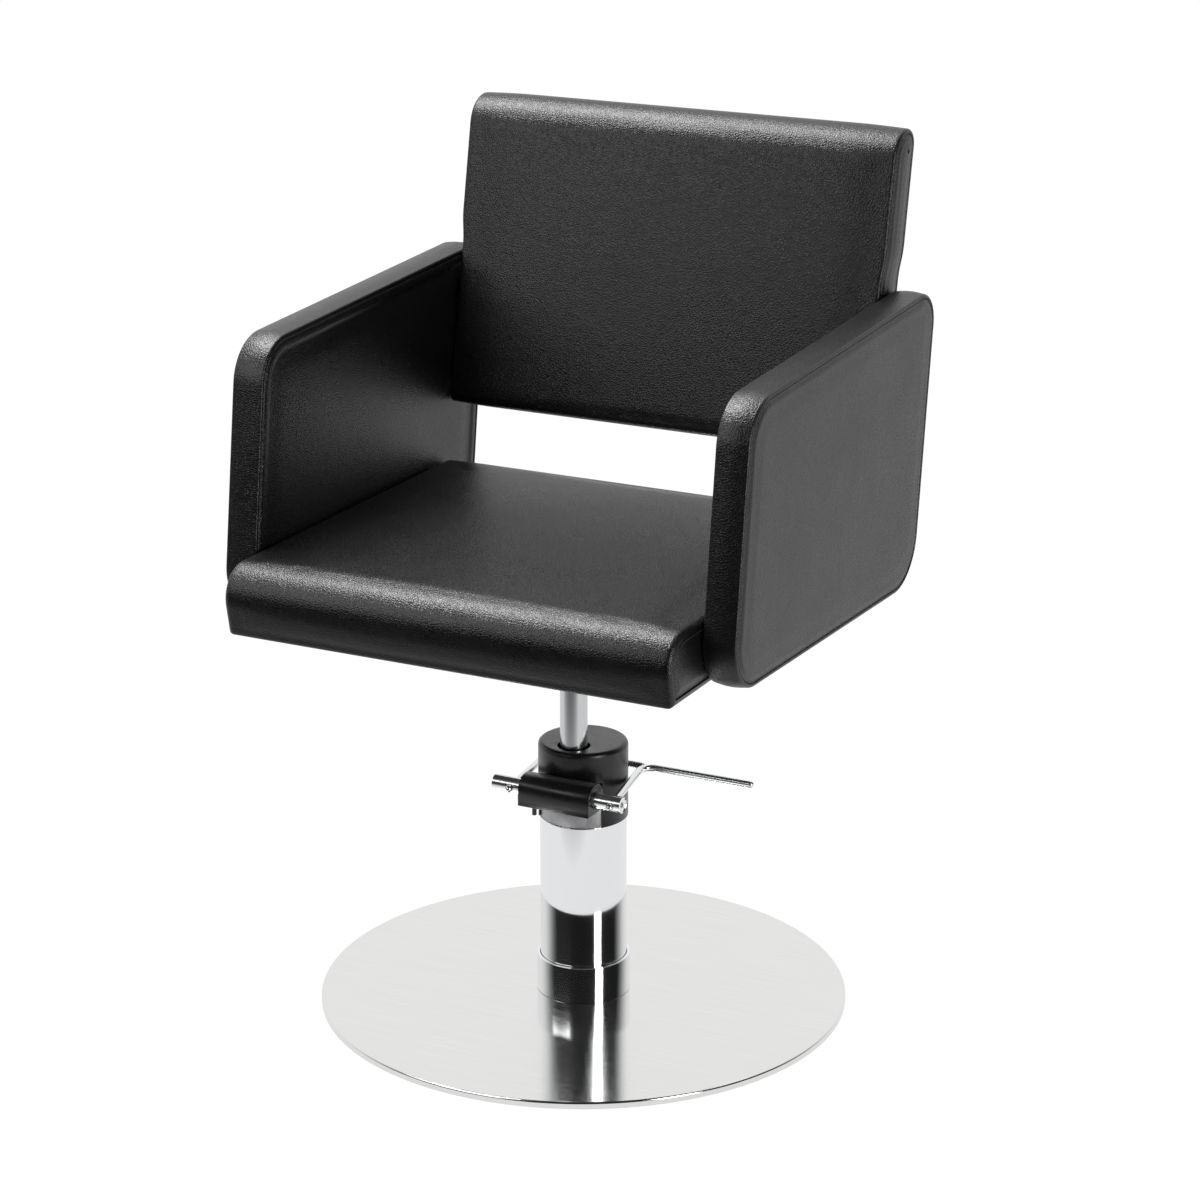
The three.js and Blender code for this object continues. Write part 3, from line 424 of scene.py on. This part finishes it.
def carve(mesh, *tools, smooth_angle=35, bevel=0.0):
    """Cuts closed tool meshes out of a mesh, softens the cut edges and returns the new mesh."""
    body = bpy.data.objects.new("carved", mesh)
    SCENE.collection.objects.link(body)
    helpers = []
    for tool in tools:
        helper = bpy.data.objects.new("tool", tool)
        SCENE.collection.objects.link(helper)
        helpers.append(helper)
        step = body.modifiers.new("cut", "BOOLEAN")
        step.operation = "DIFFERENCE"
        step.solver = "EXACT"
        step.object = helper
    if bevel:
        edge = body.modifiers.new("edge", "BEVEL")
        edge.width = bevel
        edge.segments = 2
        edge.limit_method = "ANGLE"
        edge.angle_limit = math.radians(50)
    ready = body.evaluated_get(bpy.context.evaluated_depsgraph_get())
    made = bpy.data.meshes.new_from_object(ready)
    made.name = mesh.name
    for spare in (body, *helpers):
        bpy.data.objects.remove(spare)
    shade(made, smooth_angle)
    return made


def cylinder(name, radius, low, high, axis="z", centre=(0, 0), segments=96):
    """A plain cylinder for use as a cutting tool, its centre given across its axis."""
    shape = bmesh.new()
    bmesh.ops.create_cone(
        shape, cap_ends=True, segments=segments, radius1=radius, radius2=radius, depth=high - low
    )
    mesh = bpy.data.meshes.new(name)
    shape.to_mesh(mesh)
    shape.free()
    mesh.transform(Matrix.Translation((0, 0, (low + high) / 2)))
    if axis == "x":
        mesh.transform(Matrix.Rotation(math.pi / 2, 4, "Y"))
        mesh.transform(Matrix.Translation((0, centre[0], centre[1])))
    else:
        mesh.transform(Matrix.Translation((centre[0], centre[1], 0)))
    return mesh


# ---------------------------------------------------------------- upholstery
VOXEL = 6 * MM  # size of the simulated skin's faces
CLOTH_FRAMES = 14
CLOTH_PRESSURE = 4
PINNED = 7 * MM  # reach of the seams' hold in the simulation
SEAM_FADE = 30 * MM  # over which the skin's movement grows away from a seam
ARMS_TOP = 785 * MM  # just above the arms where the back meets them


def inset_corners(corners, distances):
    """The outline with each side moved in by its own distance, and radii that shrink as it goes."""
    moved = []
    for i, three in enumerate(around(corners)):
        corner, back, on, half = corner_frame(*three)
        before, after = distances[i - 1], distances[i]
        place = corner + (back * after + on * before) / math.sin(2 * half)
        moved.append((place[0], place[1], max(three[1][2] - max(before, after), MM)))
    return moved


class Ring:
    """Points round an outline, the same number at every inset, so that rings can be joined."""

    def __init__(self, corners, spacing, flat_sides, crown):
        self.corners = corners
        self.flat_sides = flat_sides
        self.crown = crown
        self.arcs = []
        self.runs = []
        for before, here, after in around(corners):
            _, _, _, half = corner_frame(before, here, after)
            run = math.hypot(after[0] - here[0], after[1] - here[1])
            self.arcs.append(max(5, round(here[2] * (math.pi - 2 * half) / spacing)))
            self.runs.append(max(2, round(run * 0.85 / spacing)))

    def at(self, inset):
        """The ring at an inset. A flat side doesn't take part in the wrap panel's crown."""
        flat = max(inset - self.crown, 0)
        distances = [flat if i in self.flat_sides else inset for i in range(len(self.corners))]
        corners = inset_corners(self.corners, distances)
        arcs = [corner_arc(*three, steps) for three, steps in zip(around(corners), self.arcs)]
        points = []
        for i, (arc, steps) in enumerate(zip(arcs, self.runs)):
            start, end = arc[-1], arcs[(i + 1) % len(arcs)][0]
            points += arc + [start + (end - start) * k / steps for k in range(1, steps)]
        return np.array(points)


class Side:
    """How a pad's side panel lies: depth below its outermost point, against inset past the seam."""

    def __init__(self, recess, groove, swell, reach):
        self.recess = recess  # depth of the wrap panel's edge
        self.groove = groove  # depth of the seam below that edge
        self.swell = swell  # (inset past the seam, depth) keys of the panel
        self.reach = reach  # inset of the innermost ring

    def seam_profile(self):
        edge, groove = self.recess, self.groove
        return [
            (0.5 * MM, edge - 0.12 * MM),
            (1.0 * MM, edge),
            (1.25 * MM, edge + 0.75 * groove),
            (1.7 * MM, edge + groove),
            (2.15 * MM, edge + 0.85 * groove),
            (2.6 * MM, edge + 0.2 * groove),
        ]

    def panel_profile(self, start):
        """Eased from key to key, in steps that widen away from the seam."""
        keys = [(2.6 * MM, self.recess + 0.2 * self.groove), *self.swell]
        inset, step = 2.6 * MM, 0.7 * MM
        profile = []
        while start + inset + step < self.reach:
            inset += step
            step = min(step * 1.15, 6 * MM)
            profile.append((inset, eased(keys, inset)))
        return profile


def eased(keys, at):
    for (x0, y0), (x1, y1) in zip(keys, keys[1:]):
        if at < x1:
            part = 0.5 - 0.5 * math.cos(math.pi * (at - x0) / (x1 - x0))
            return y0 + (y1 - y0) * part
    return keys[-1][1]


class Pad:
    """A boxed, sewn pad: a wrap panel round the outline and a panel on each side."""

    spacing = 4 * MM

    def __init__(self, corners, low_x, high_x, low_side, high_side, crown, edge, flat_sides=()):
        self.edge = edge  # rounding of the wrap over its side edges
        self.corners = [(y * MM, z * MM, r * MM) for y, z, r in corners]
        self.low_x, self.high_x = low_x, high_x
        self.ring = Ring(self.corners, self.spacing, flat_sides, crown)
        low = self.side_rows(low_side, crown)
        high = self.side_rows(high_side, crown)
        start = low_x + low_side.recess + self.edge
        end = high_x - high_side.recess - self.edge
        wrap = self.wrap_rows(start, end, crown)
        self.rows = [(low_x + depth, inset) for inset, depth in reversed(low)] + wrap
        self.rows += [(high_x - depth, inset) for inset, depth in high]
        self.stitch_rows = (len(low) - self.stitch_row, len(low) + len(wrap) + self.stitch_row - 1)

    def side_rows(self, side, crown):
        """(inset, depth) of the rings from the wrap panel's edge to the middle of the side."""
        rows = []
        for k in range(7):
            turn = math.pi / 2 * k / 6
            away = self.edge * (1 - math.cos(turn))
            rows.append((crown + away, side.recess + self.edge * (1 - math.sin(turn))))
        start = crown + self.edge
        rows += [(start + inset, depth) for inset, depth in side.seam_profile()]
        self.stitch_row = len(rows) + 1
        rows += [(start + inset, depth) for inset, depth in side.panel_profile(start)]
        return rows

    def wrap_rows(self, start, end, crown):
        """(x, inset) of the rings across the wrap panel, which is crowned towards its middle."""
        half = (end - start) / 2
        spread = min(half, 55 * MM)
        steps = max(6, round(2 * half / self.spacing))
        rows = []
        for k in range(1, steps):
            x = start + 2 * half * k / steps
            from_edge = half - abs(x - start - half)
            rows.append((x, crown * (1 - math.sin(math.pi / 2 * min(1, from_edge / spread)))))
        return rows

    def mesh(self, name):
        rings = [self.ring.at(inset) for _, inset in self.rows]
        self.count = len(rings[0])
        points = np.array([(x, y, z) for (x, _), ring in zip(self.rows, rings) for y, z in ring])
        faces = []
        for r in range(len(rings) - 1):
            for i in range(self.count):
                j = (i + 1) % self.count
                here, there = r * self.count, (r + 1) * self.count
                faces.append((here + i, here + j, there + j, there + i))
        faces.append(tuple(range(self.count)))
        faces.append(tuple(range((len(rings) - 1) * self.count, len(rings) * self.count)))
        made = bpy.data.meshes.new(name)
        made.from_pydata([tuple(p) for p in points], [], faces)
        shape = bmesh.new()
        shape.from_mesh(made)
        bmesh.ops.recalc_face_normals(shape, faces=shape.faces)
        bmesh.ops.triangulate(shape, faces=[f for f in shape.faces if len(f.verts) > 4])
        shape.to_mesh(made)
        shape.free()
        made.polygons.foreach_set("use_smooth", [True] * len(made.polygons))
        return made


def stitches(name, mesh, pad, pitch=4.6 * MM, length=3.3 * MM, radius=0.38 * MM, sides=6):
    """Short lengths of thread that lie along both seams."""
    places = np.array([v.co for v in mesh.vertices])
    normals = np.array([v.normal for v in mesh.vertices])
    points, faces = [], []
    profile = [(-0.5, 0.35), (-0.32, 0.9), (0, 1.0), (0.32, 0.9), (0.5, 0.35)]
    for row in pad.stitch_rows:
        ring = places[row * pad.count : (row + 1) * pad.count]
        outward = normals[row * pad.count : (row + 1) * pad.count]
        steps = np.linalg.norm(np.roll(ring, -1, 0) - ring, axis=1)
        along = np.concatenate([[0], np.cumsum(steps)])
        closed = np.vstack([ring, ring[:1]])
        closed_out = np.vstack([outward, outward[:1]])
        number = int(along[-1] / pitch)
        for k in range(number):
            at = along[-1] * (k + 0.5) / number
            centre = np.array([np.interp(at, along, closed[:, a]) for a in range(3)])
            ahead = np.array([np.interp(min(at + MM, along[-1]), along, closed[:, a]) for a in range(3)])
            out = np.array([np.interp(at, along, closed_out[:, a]) for a in range(3)])
            tangent = ahead - centre
            tangent /= np.linalg.norm(tangent)
            out -= tangent * (out @ tangent)
            out /= np.linalg.norm(out)
            side = np.cross(tangent, out)
            first = len(points)
            for step, wide in profile:
                sink = -0.5 * radius * (2 * step) ** 2
                middle = centre + tangent * step * length + out * (0.25 * radius + sink)
                for n in range(sides):
                    a = 2 * math.pi * n / sides
                    points.append(middle + (out * math.cos(a) + side * math.sin(a)) * radius * wide)
            for r in range(len(profile) - 1):
                for n in range(sides):
                    m = (n + 1) % sides
                    low, high = first + r * sides, first + (r + 1) * sides
                    faces.append((low + n, low + m, high + m, high + n))
            faces.append(tuple(first + n for n in range(sides)))
            faces.append(tuple(first + (len(profile) - 1) * sides + n for n in range(sides)))
    made = bpy.data.meshes.new(name)
    made.from_pydata([tuple(p) for p in points], [], faces)
    shape = bmesh.new()
    shape.from_mesh(made)
    bmesh.ops.recalc_face_normals(shape, faces=shape.faces)
    shape.to_mesh(made)
    shape.free()
    made.polygons.foreach_set("use_smooth", [True] * len(made.polygons))
    return made


def leaning(corners, foot_y=160, foot_z=609, recline=math.radians(11)):
    """Corners given as depth and height in the back's own leaning frame, as (y, z, radius)."""
    c, s = math.cos(recline), math.sin(recline)
    return [(foot_y + d * c + h * s, foot_z - d * s + h * c, r) for d, h, r in corners]


SEAT_OUTLINE = [(-304.5, 472.8, 4), (162, 474, 2), (162, 545, 12), (-319, 546.5, 36)]
SEAT_FLAT_SIDES = (0,)  # its underside, which lies on the wooden frame
BACK_OUTLINE = leaning([(0, 0, 8), (56, 0, 8), (56, 350, 20), (0, 350, 36)])
ARM_OUTLINE = [(-253.5, 470.3, 50), (219.8, 457, 62), (263.3, 780, 36), (-215.5, 759.5, 54)]


SEAT_SIDE = Side(1.4 * MM, 2.0 * MM, [(12 * MM, 0.3 * MM), (24 * MM, 0)], 33 * MM)
BACK_SIDE = Side(1.8 * MM, 2.0 * MM, [(9 * MM, 0.9 * MM), (19 * MM, 0)], 27 * MM)
ARM_OUTSIDE = Side(1.7 * MM, 2.3 * MM, [(10 * MM, 0.6 * MM), (40 * MM, 0)], 130 * MM)
ARM_INSIDE = Side(
    0.9 * MM,
    2.1 * MM,
    [
        (6 * MM, 0.1 * MM),
        (10 * MM, 0.2 * MM),
        (15 * MM, 2.0 * MM),
        (19 * MM, 1.9 * MM),
        (45 * MM, 1.2 * MM),
    ],
    130 * MM,
)


def swollen_proxy(mesh, seams, held):
    """A coarser copy of a pad and how far its skin moves under pressure, held along its seams."""
    proxy = bpy.data.objects.new("proxy", mesh.copy())
    SCENE.collection.objects.link(proxy)
    remesh = proxy.modifiers.new("remesh", "REMESH")
    remesh.mode = "VOXEL"
    remesh.voxel_size = VOXEL
    ready = proxy.evaluated_get(bpy.context.evaluated_depsgraph_get())
    coarse = bpy.data.meshes.new_from_object(ready)
    proxy.modifiers.clear()
    proxy.data = coarse
    rest = coordinates(coarse)
    near_seam = nearest(seams, rest, 1)[0][:, 0] < PINNED
    pins = proxy.vertex_groups.new(name="pins")
    pins.add([int(i) for i in np.flatnonzero(near_seam | held(rest))], 1.0, "REPLACE")
    cloth = proxy.modifiers.new("cloth", "CLOTH")
    cloth.settings.quality = 4
    cloth.settings.tension_stiffness = 30
    cloth.settings.compression_stiffness = 30
    cloth.settings.bending_stiffness = 2
    cloth.settings.use_pressure = True
    cloth.settings.uniform_pressure_force = CLOTH_PRESSURE
    cloth.settings.effector_weights.gravity = 0
    cloth.settings.vertex_group_mass = "pins"
    cloth.collision_settings.use_collision = False
    cloth.point_cache.frame_start = 1
    cloth.point_cache.frame_end = CLOTH_FRAMES
    for number in range(1, CLOTH_FRAMES + 1):
        SCENE.frame_set(number)
    settled = proxy.evaluated_get(bpy.context.evaluated_depsgraph_get())
    moved = coordinates(settled.data) - rest
    bpy.data.objects.remove(proxy)
    SCENE.frame_set(1)
    return rest, moved


def coordinates(mesh):
    flat = np.empty(3 * len(mesh.vertices), np.float32)
    mesh.vertices.foreach_get("co", flat)
    return flat.reshape(-1, 3).astype(float)


def nearest(places, wanted, count):
    """Distances to, and numbers of, the nearest of some places to each wanted place."""
    tree = kdtree.KDTree(len(places))
    for i, place in enumerate(places):
        tree.insert(place, i)
    tree.balance()
    found = [tree.find_n(place, count) for place in wanted]
    distances = np.array([[d for _, _, d in three] for three in found])
    return distances, np.array([[i for _, i, _ in three] for three in found])


def swell(mesh, pad, most, held):
    """Moves the pad's panels out as the simulated skin does, no further than a limit."""
    fine = coordinates(mesh)
    seams = np.concatenate([fine[row * pad.count : (row + 1) * pad.count] for row in pad.stitch_rows])
    rest, moved = swollen_proxy(mesh, seams, held)
    distances, picks = nearest(rest, fine, 4)
    weights = 1 / (distances + 0.5 * MM)
    weights /= weights.sum(1)[:, None]
    push = (moved[picks] * weights[:, :, None]).sum(1)
    normals = np.array([v.normal for v in mesh.vertices])
    along = np.clip((push * normals).sum(1), 0, None)
    along = most * np.tanh(along / (2 * most))
    away = np.clip(nearest(seams, fine, 1)[0][:, 0] / SEAM_FADE - 0.15, 0, 1)
    along *= away * away * (3 - 2 * away)
    along[held(fine)] = 0
    fine += normals * along[:, None]
    fine[:, 0] = np.clip(fine[:, 0], pad.low_x, pad.high_x)
    mesh.vertices.foreach_set("co", fine.astype(np.float32).ravel())
    mesh.update()


def build_pad(name, pad, nodes, leather, sewing, most, held, spread=0.0):
    mesh = pad.mesh(name)
    swell(mesh, pad, most, held)
    if spread:
        widen(mesh, pad, spread)
    made = add_object(name, mesh, leather, "seat", nodes)
    sewn = stitches(name + "_stitches", mesh, pad)
    add_object(name + "_stitches", sewn, sewing, "seat")


def widen(mesh, pad, spread):
    """Lets the back spread sideways where it stands above the arms, which squeeze it lower down."""
    places = coordinates(mesh)
    above = np.clip((places[:, 2] - ARMS_TOP) / (35 * MM), 0, 1)
    places[:, 0] *= 1 + spread / pad.high_x * above * above * (3 - 2 * above)
    mesh.vertices.foreach_set("co", places.astype(np.float32).ravel())
    mesh.update()


def seat_frame(places):
    """Where the seat's cover is stapled to its wooden frame."""
    return places[:, 2] < 482 * MM


def nowhere(places):
    return np.zeros(len(places), bool)


def build_upholstery(leather, sewing):
    low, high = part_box("seat_cover")
    seat = Pad(SEAT_OUTLINE, low.x, high.x, SEAT_SIDE, SEAT_SIDE, 0.8 * MM, 7 * MM, SEAT_FLAT_SIDES)
    nodes = ("seat_cover", "seat_foam")
    build_pad("seat_cushion", seat, nodes, leather, sewing, 2.0 * MM, seat_frame)
    low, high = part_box("back_cover")
    back = Pad(BACK_OUTLINE, low.x, high.x, BACK_SIDE, BACK_SIDE, 1.5 * MM, 3.6 * MM)
    nodes = ("back_cover", "back_foam")
    build_pad("back_cushion", back, nodes, leather, sewing, 1.6 * MM, nowhere, 3 * MM)
    for side, sign in SIDES:
        low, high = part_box(f"arm_cover_{side}")
        panels = (ARM_INSIDE, ARM_OUTSIDE) if sign > 0 else (ARM_OUTSIDE, ARM_INSIDE)
        arm = Pad(ARM_OUTLINE, low.x, high.x, *panels, 1.6 * MM, 2.7 * MM)
        nodes = (f"arm_cover_{side}", f"arm_foam_{side}")
        build_pad(f"arm_pad_{side}", arm, nodes, leather, sewing, 1.2 * MM, nowhere)


# ---------------------------------------------------------------- base and column
def arc_points(centre, radius, start, end, steps):
    """Points of an arc in a (radius, z) profile, angles in degrees."""
    angles = np.radians(np.linspace(start, end, steps + 1))
    return [(centre[0] + radius * math.cos(a), centre[1] + radius * math.sin(a)) for a in angles]


def build_disc(material):
    low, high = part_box("base_cover")
    radius, top, bottom = high.x, high.z, low.z
    wall = 2.6 * MM
    hole = 45.9 * MM
    sheet = 1.4 * MM
    profile = [(hole, top - sheet), (radius - wall - sheet, top - sheet), (radius - wall, top - 2 * sheet)]
    profile += [(radius - wall, bottom), (radius - 0.4 * MM, bottom), (radius, bottom + 0.4 * MM)]
    profile += arc_points((radius - 2.2 * MM, top - 2.2 * MM), 2.2 * MM, 0, 90, 6)
    profile += [(radius - 2.6 * MM, top), (radius - 5 * MM, top), (radius / 2, top), (hole, top)]
    mesh = turned("disc_cover", profile, segments=256)
    add_object("disc_cover", mesh, material, "base", ["base_cover"])


def build_column(material):
    low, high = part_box("column_tube")
    radius, inner = high.x, high.x - 2.5 * MM
    profile = [(inner, low.z), (radius, low.z), (radius, low.z + 1 * MM), (radius, high.z - 1.5 * MM)]
    profile += arc_points((radius - 0.5 * MM, high.z - 0.5 * MM), 0.5 * MM, 0, 90, 3)
    profile += [(inner, high.z)]
    mesh = turned("column", profile, segments=192)
    add_object("column", mesh, material, "base", ["column_tube"])

    low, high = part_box("foot_ring")
    inner, radius = radius + 0.5 * MM, high.x
    profile = [(inner, low.z), (radius - 0.3 * MM, low.z), (radius, low.z + 0.3 * MM)]
    profile += arc_points((radius - 1.1 * MM, high.z - 1.1 * MM), 1.1 * MM, 0, 90, 5)
    profile += arc_points((inner + 0.4 * MM, high.z - 0.4 * MM), 0.4 * MM, 90, 180, 3)
    mesh = turned("column_foot_ring", profile, segments=192)
    add_object("column_foot_ring", mesh, material, "base", ["foot_ring"])


def build_ram(material):
    low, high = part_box("ram")
    radius = (high.x - low.x) / 2
    centre = (0, (low.y + high.y) / 2)
    profile = [(0, low.z), (radius - 0.8 * MM, low.z), (radius, low.z + 0.8 * MM)]
    profile += [(radius, low.z + 2 * MM), (radius, high.z - 2 * MM)]
    profile += [(radius, high.z - 0.8 * MM), (radius - 0.8 * MM, high.z), (0, high.z)]
    mesh = turned("ram_rod", profile, centre, 128)
    add_object("ram_rod", mesh, material, "seat", ["ram"])


# ---------------------------------------------------------------- pump and lever
SHAFT_Y, SHAFT_Z = -58 * MM, 257 * MM
RAM_Y = -22 * MM
RAM_HOLE = 18 * MM
WINDOW_HALF_ANGLE, WINDOW_TOP = math.radians(52), 266 * MM  # the cap's opening for the lever's housing
SHAFT_RADIUS = 9 * MM
WIRE_RADIUS, WIRE_BEND = 4 * MM, 14 * MM
LEVER_CLAMPS = (65 * MM, -55.5 * MM)  # left and right of the sitter
LEVER_CORNERS = (44.5 * MM, -68 * MM)
LEVER_REAR_Y = 57 * MM
PEDAL_TIP = (173.5 * MM, LEVER_REAR_Y, SHAFT_Z + 1 * MM)


def build_cap(material):
    low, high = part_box("pump_cap")
    radius, top, wall, roof = high.x, high.z, 1.8 * MM, 3.5 * MM
    profile = [(0, top - roof), (radius - wall - 4 * MM, top - roof), (radius - wall, top - 8 * MM)]
    profile += [(radius - wall, low.z), (radius, low.z), (radius, top - 6 * MM)]
    profile += arc_points((radius - 5 * MM, top - 5 * MM), 5 * MM, 0, 90, 8)
    profile += [(radius - 6 * MM, top), (radius / 2, top), (0, top)]
    shell = turned("cap_shell", profile, segments=160)
    ram_hole = cylinder("ram_hole", RAM_HOLE, top - 20 * MM, top + 5 * MM, centre=(0, RAM_Y))
    half, reach, height = WINDOW_HALF_ANGLE, 2 * radius, WINDOW_TOP
    side, front = reach * math.sin(half), -reach * math.cos(half)
    corners = [(0, 0), (-side, front), (side, front)]
    wedge = [(x, y, low.z - 1 * MM) for x, y in corners] + [(x, y, height) for x, y in corners]
    faces = [(0, 1, 2), (5, 4, 3), (0, 3, 4, 1), (1, 4, 5, 2), (2, 5, 3, 0)]
    window = mesh_from("window", wedge, faces)
    mesh = carve(shell, ram_hole, window, bevel=0.5 * MM)
    add_object("cap_shell", mesh, material, "base", ["pump_cap"])


def circle(radius, centre, steps=72):
    angles = np.linspace(0, 2 * math.pi, steps, endpoint=False)
    return np.stack([centre[0] + radius * np.cos(angles), centre[1] + radius * np.sin(angles)], 1)


def build_lever(material):
    low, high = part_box("cross_shaft")
    outline = circle(SHAFT_RADIUS, (SHAFT_Y, SHAFT_Z))
    shaft = sideways("lever_shaft", outline, low.x, high.x, edge=1.0 * MM)
    sockets = [
        cylinder("socket", 3.2 * MM, *ends, "x", (SHAFT_Y, SHAFT_Z), 32)
        for ends in ((high.x - 2 * MM, high.x + 5 * MM), (low.x - 5 * MM, low.x + 2 * MM))
    ]
    shaft = carve(shaft, *sockets)
    add_object("lever_shaft", shaft, material, "lever", ["cross_shaft"])

    wires = []
    for clamp, corner in zip(LEVER_CLAMPS, LEVER_CORNERS):
        start = Vector((clamp, SHAFT_Y, SHAFT_Z))
        rear = Vector((corner, LEVER_REAR_Y, SHAFT_Z))
        front = start + (start - rear).normalized() * 12.6 * MM
        end = PEDAL_TIP if clamp > 0 else (LEVER_CORNERS[0] - 2 * MM, LEVER_REAR_Y, SHAFT_Z)
        wires.append(rod("lever_wire", (front, rear, Vector(end)), WIRE_RADIUS, WIRE_BEND, 32))
    for name, mesh in zip(("lever_pedal", "lever_bar"), wires):
        add_object(name, mesh, material, "lever", ["foot_lever"])


# ---------------------------------------------------------------- CAD nodes kept, with finer finishes
def dress_nodes(finishes):
    slots = {s["node"]: s["material_slot"] for s in frame["record"]["subparts"]}
    for name, node in frame["nodes"].items():
        material = finishes[slots[name]]
        node.data.materials.clear()
        node.data.materials.append(material)
        node.data.polygons.foreach_set("use_smooth", [True] * len(node.data.polygons))
        node.data.set_sharp_from_angle(angle=math.radians(35))
        weld = node.modifiers.new("weld", "WELD")
        weld.merge_threshold = 0.00001
        edge = node.modifiers.new("edge", "BEVEL")
        edge.width = 0.35 * MM
        edge.segments = 2
        edge.limit_method = "ANGLE"
        edge.angle_limit = math.radians(40)


# ---------------------------------------------------------------- studio
def floor_sheet(size, material):
    half = size / 2
    corners = [(-half, -half, 0), (half, -half, 0), (half, half, 0), (-half, half, 0)]
    mesh = bpy.data.meshes.new("floor")
    mesh.from_pydata(corners, [], [(0, 1, 2, 3)])
    mesh.materials.append(material)
    made = bpy.data.objects.new("floor", mesh)
    made.location = (0, 0, -0.2 * MM)
    SCENE.collection.objects.link(made)


def area_light(name, place, target, size, power, size_y):
    data = bpy.data.lights.new(name, "AREA")
    data.shape = "RECTANGLE"
    data.size = size
    data.size_y = size_y
    data.energy = power
    made = bpy.data.objects.new(name, data)
    made.location = place
    made.rotation_mode = "QUATERNION"
    made.rotation_quaternion = (Vector(target) - Vector(place)).to_track_quat("-Z", "Y")
    SCENE.collection.objects.link(made)
    return made


def make_world():
    """White to the camera and behind the chair, dark in front of it, as in a flagged studio."""
    world = bpy.data.worlds.new("studio")
    SCENE.world = world
    world.use_nodes = True
    tree = world.node_tree
    tree.nodes.clear()
    output = tree.nodes.new("ShaderNodeOutputWorld")
    background = tree.nodes.new("ShaderNodeBackground")
    background.inputs["Color"].default_value = (1, 1, 1, 1)
    tree.links.new(background.outputs[0], output.inputs[0])
    direction = tree.nodes.new("ShaderNodeTexCoord").outputs["Generated"]
    rear = tree.nodes.new("ShaderNodeVectorMath")
    rear.operation = "DOT_PRODUCT"
    tree.links.new(direction, rear.inputs[0])
    rear.inputs[1].default_value = (-0.55, 0.82, 0.15)
    ramp = tree.nodes.new("ShaderNodeMapRange")
    ramp.interpolation_type = "SMOOTHSTEP"
    tree.links.new(rear.outputs["Value"], ramp.inputs[0])
    ramp.inputs[1].default_value = -0.1
    ramp.inputs[2].default_value = 0.75
    ramp.inputs[3].default_value = 0.012
    ramp.inputs[4].default_value = 0.94
    path = tree.nodes.new("ShaderNodeLightPath")
    brighter = tree.nodes.new("ShaderNodeMath")
    brighter.operation = "MAXIMUM"
    tree.links.new(ramp.outputs[0], brighter.inputs[0])
    tree.links.new(path.outputs["Is Camera Ray"], brighter.inputs[1])
    tree.links.new(brighter.outputs[0], background.inputs["Strength"])


def make_floor():
    """White to the camera; to everything else a painted glow, bright round the chair and darker far in
    front of it, in place of light and shade falling on the floor.
    """
    floor = Finish("pale_floor", (0.86, 0.86, 0.86), 0.7, Specular_IOR_Level=0.0)
    place = floor.node("SeparateXYZ", {0: floor.coordinates}).outputs["Y"]
    near = floor.math("POWER", floor.spread(place, -1.5, -0.45, 0, 1), 2.2)
    # The floor glows: painted light round the chair, fading to painted shade far in front.
    painted_floor_glow = floor.spread(near, 0, 1, 0.03, 0.85)
    camera = floor.node("LightPath").outputs["Is Camera Ray"]
    floor.link(floor.math("MAXIMUM", painted_floor_glow, camera), "Emission Strength")
    floor.shader.inputs["Emission Color"].default_value = (1, 1, 1, 1)
    floor.shader.inputs["Base Color"].default_value = (0.02, 0.02, 0.02, 1)
    floor_sheet(14, floor.material)


def make_studio():
    make_world()
    make_floor()
    area_light("key", (-1.05, 0.05, 2.9), (0, -0.1, 0.5), 1.5, 92, size_y=1.2)
    area_light("side", (2.6, -1.2, 1.1), (0, 0, 0.6), 0.85, 40, size_y=1.9)
    area_light("front", (-0.75, -1.15, 1.3), (0, 0.2, 0.8), 1.3, 7.5, size_y=0.7)
    area_light("top", (0.3, 1.2, 3.0), (0, 0, 0.5), 2.0, 8, size_y=1.4)
    SCENE.view_settings.view_transform = "Standard"


# ---------------------------------------------------------------- the chair
def build_chair():
    finishes = {
        "leatherette": leatherette(),
        "foam": lining_cloth(),
        "plywood": plywood(),
        "liner": lining_cloth(),
        "stainless": brushed_stainless(),
        "column_chrome": polished("column_chrome", (0.86, 0.87, 0.88), 0.03),
        "chrome": polished("chrome", (0.80, 0.81, 0.82), 0.06),
        "steel": plain_steel(),
        "ironwork": black_paint(),
        "aluminium": cast_aluminium(),
        "bronze": bronze(),
        "black_plastic": moulded_plastic(),
        "rubber": rubber(),
    }
    dress_nodes(finishes)
    build_upholstery(finishes["leatherette"], thread())
    build_disc(finishes["stainless"])
    build_column(finishes["column_chrome"])
    build_ram(turned_steel())
    build_cap(finishes["black_plastic"])
    build_lever(polished("lever_chrome", (0.84, 0.85, 0.86), 0.2))


make_camera()
make_studio()
build_chair()
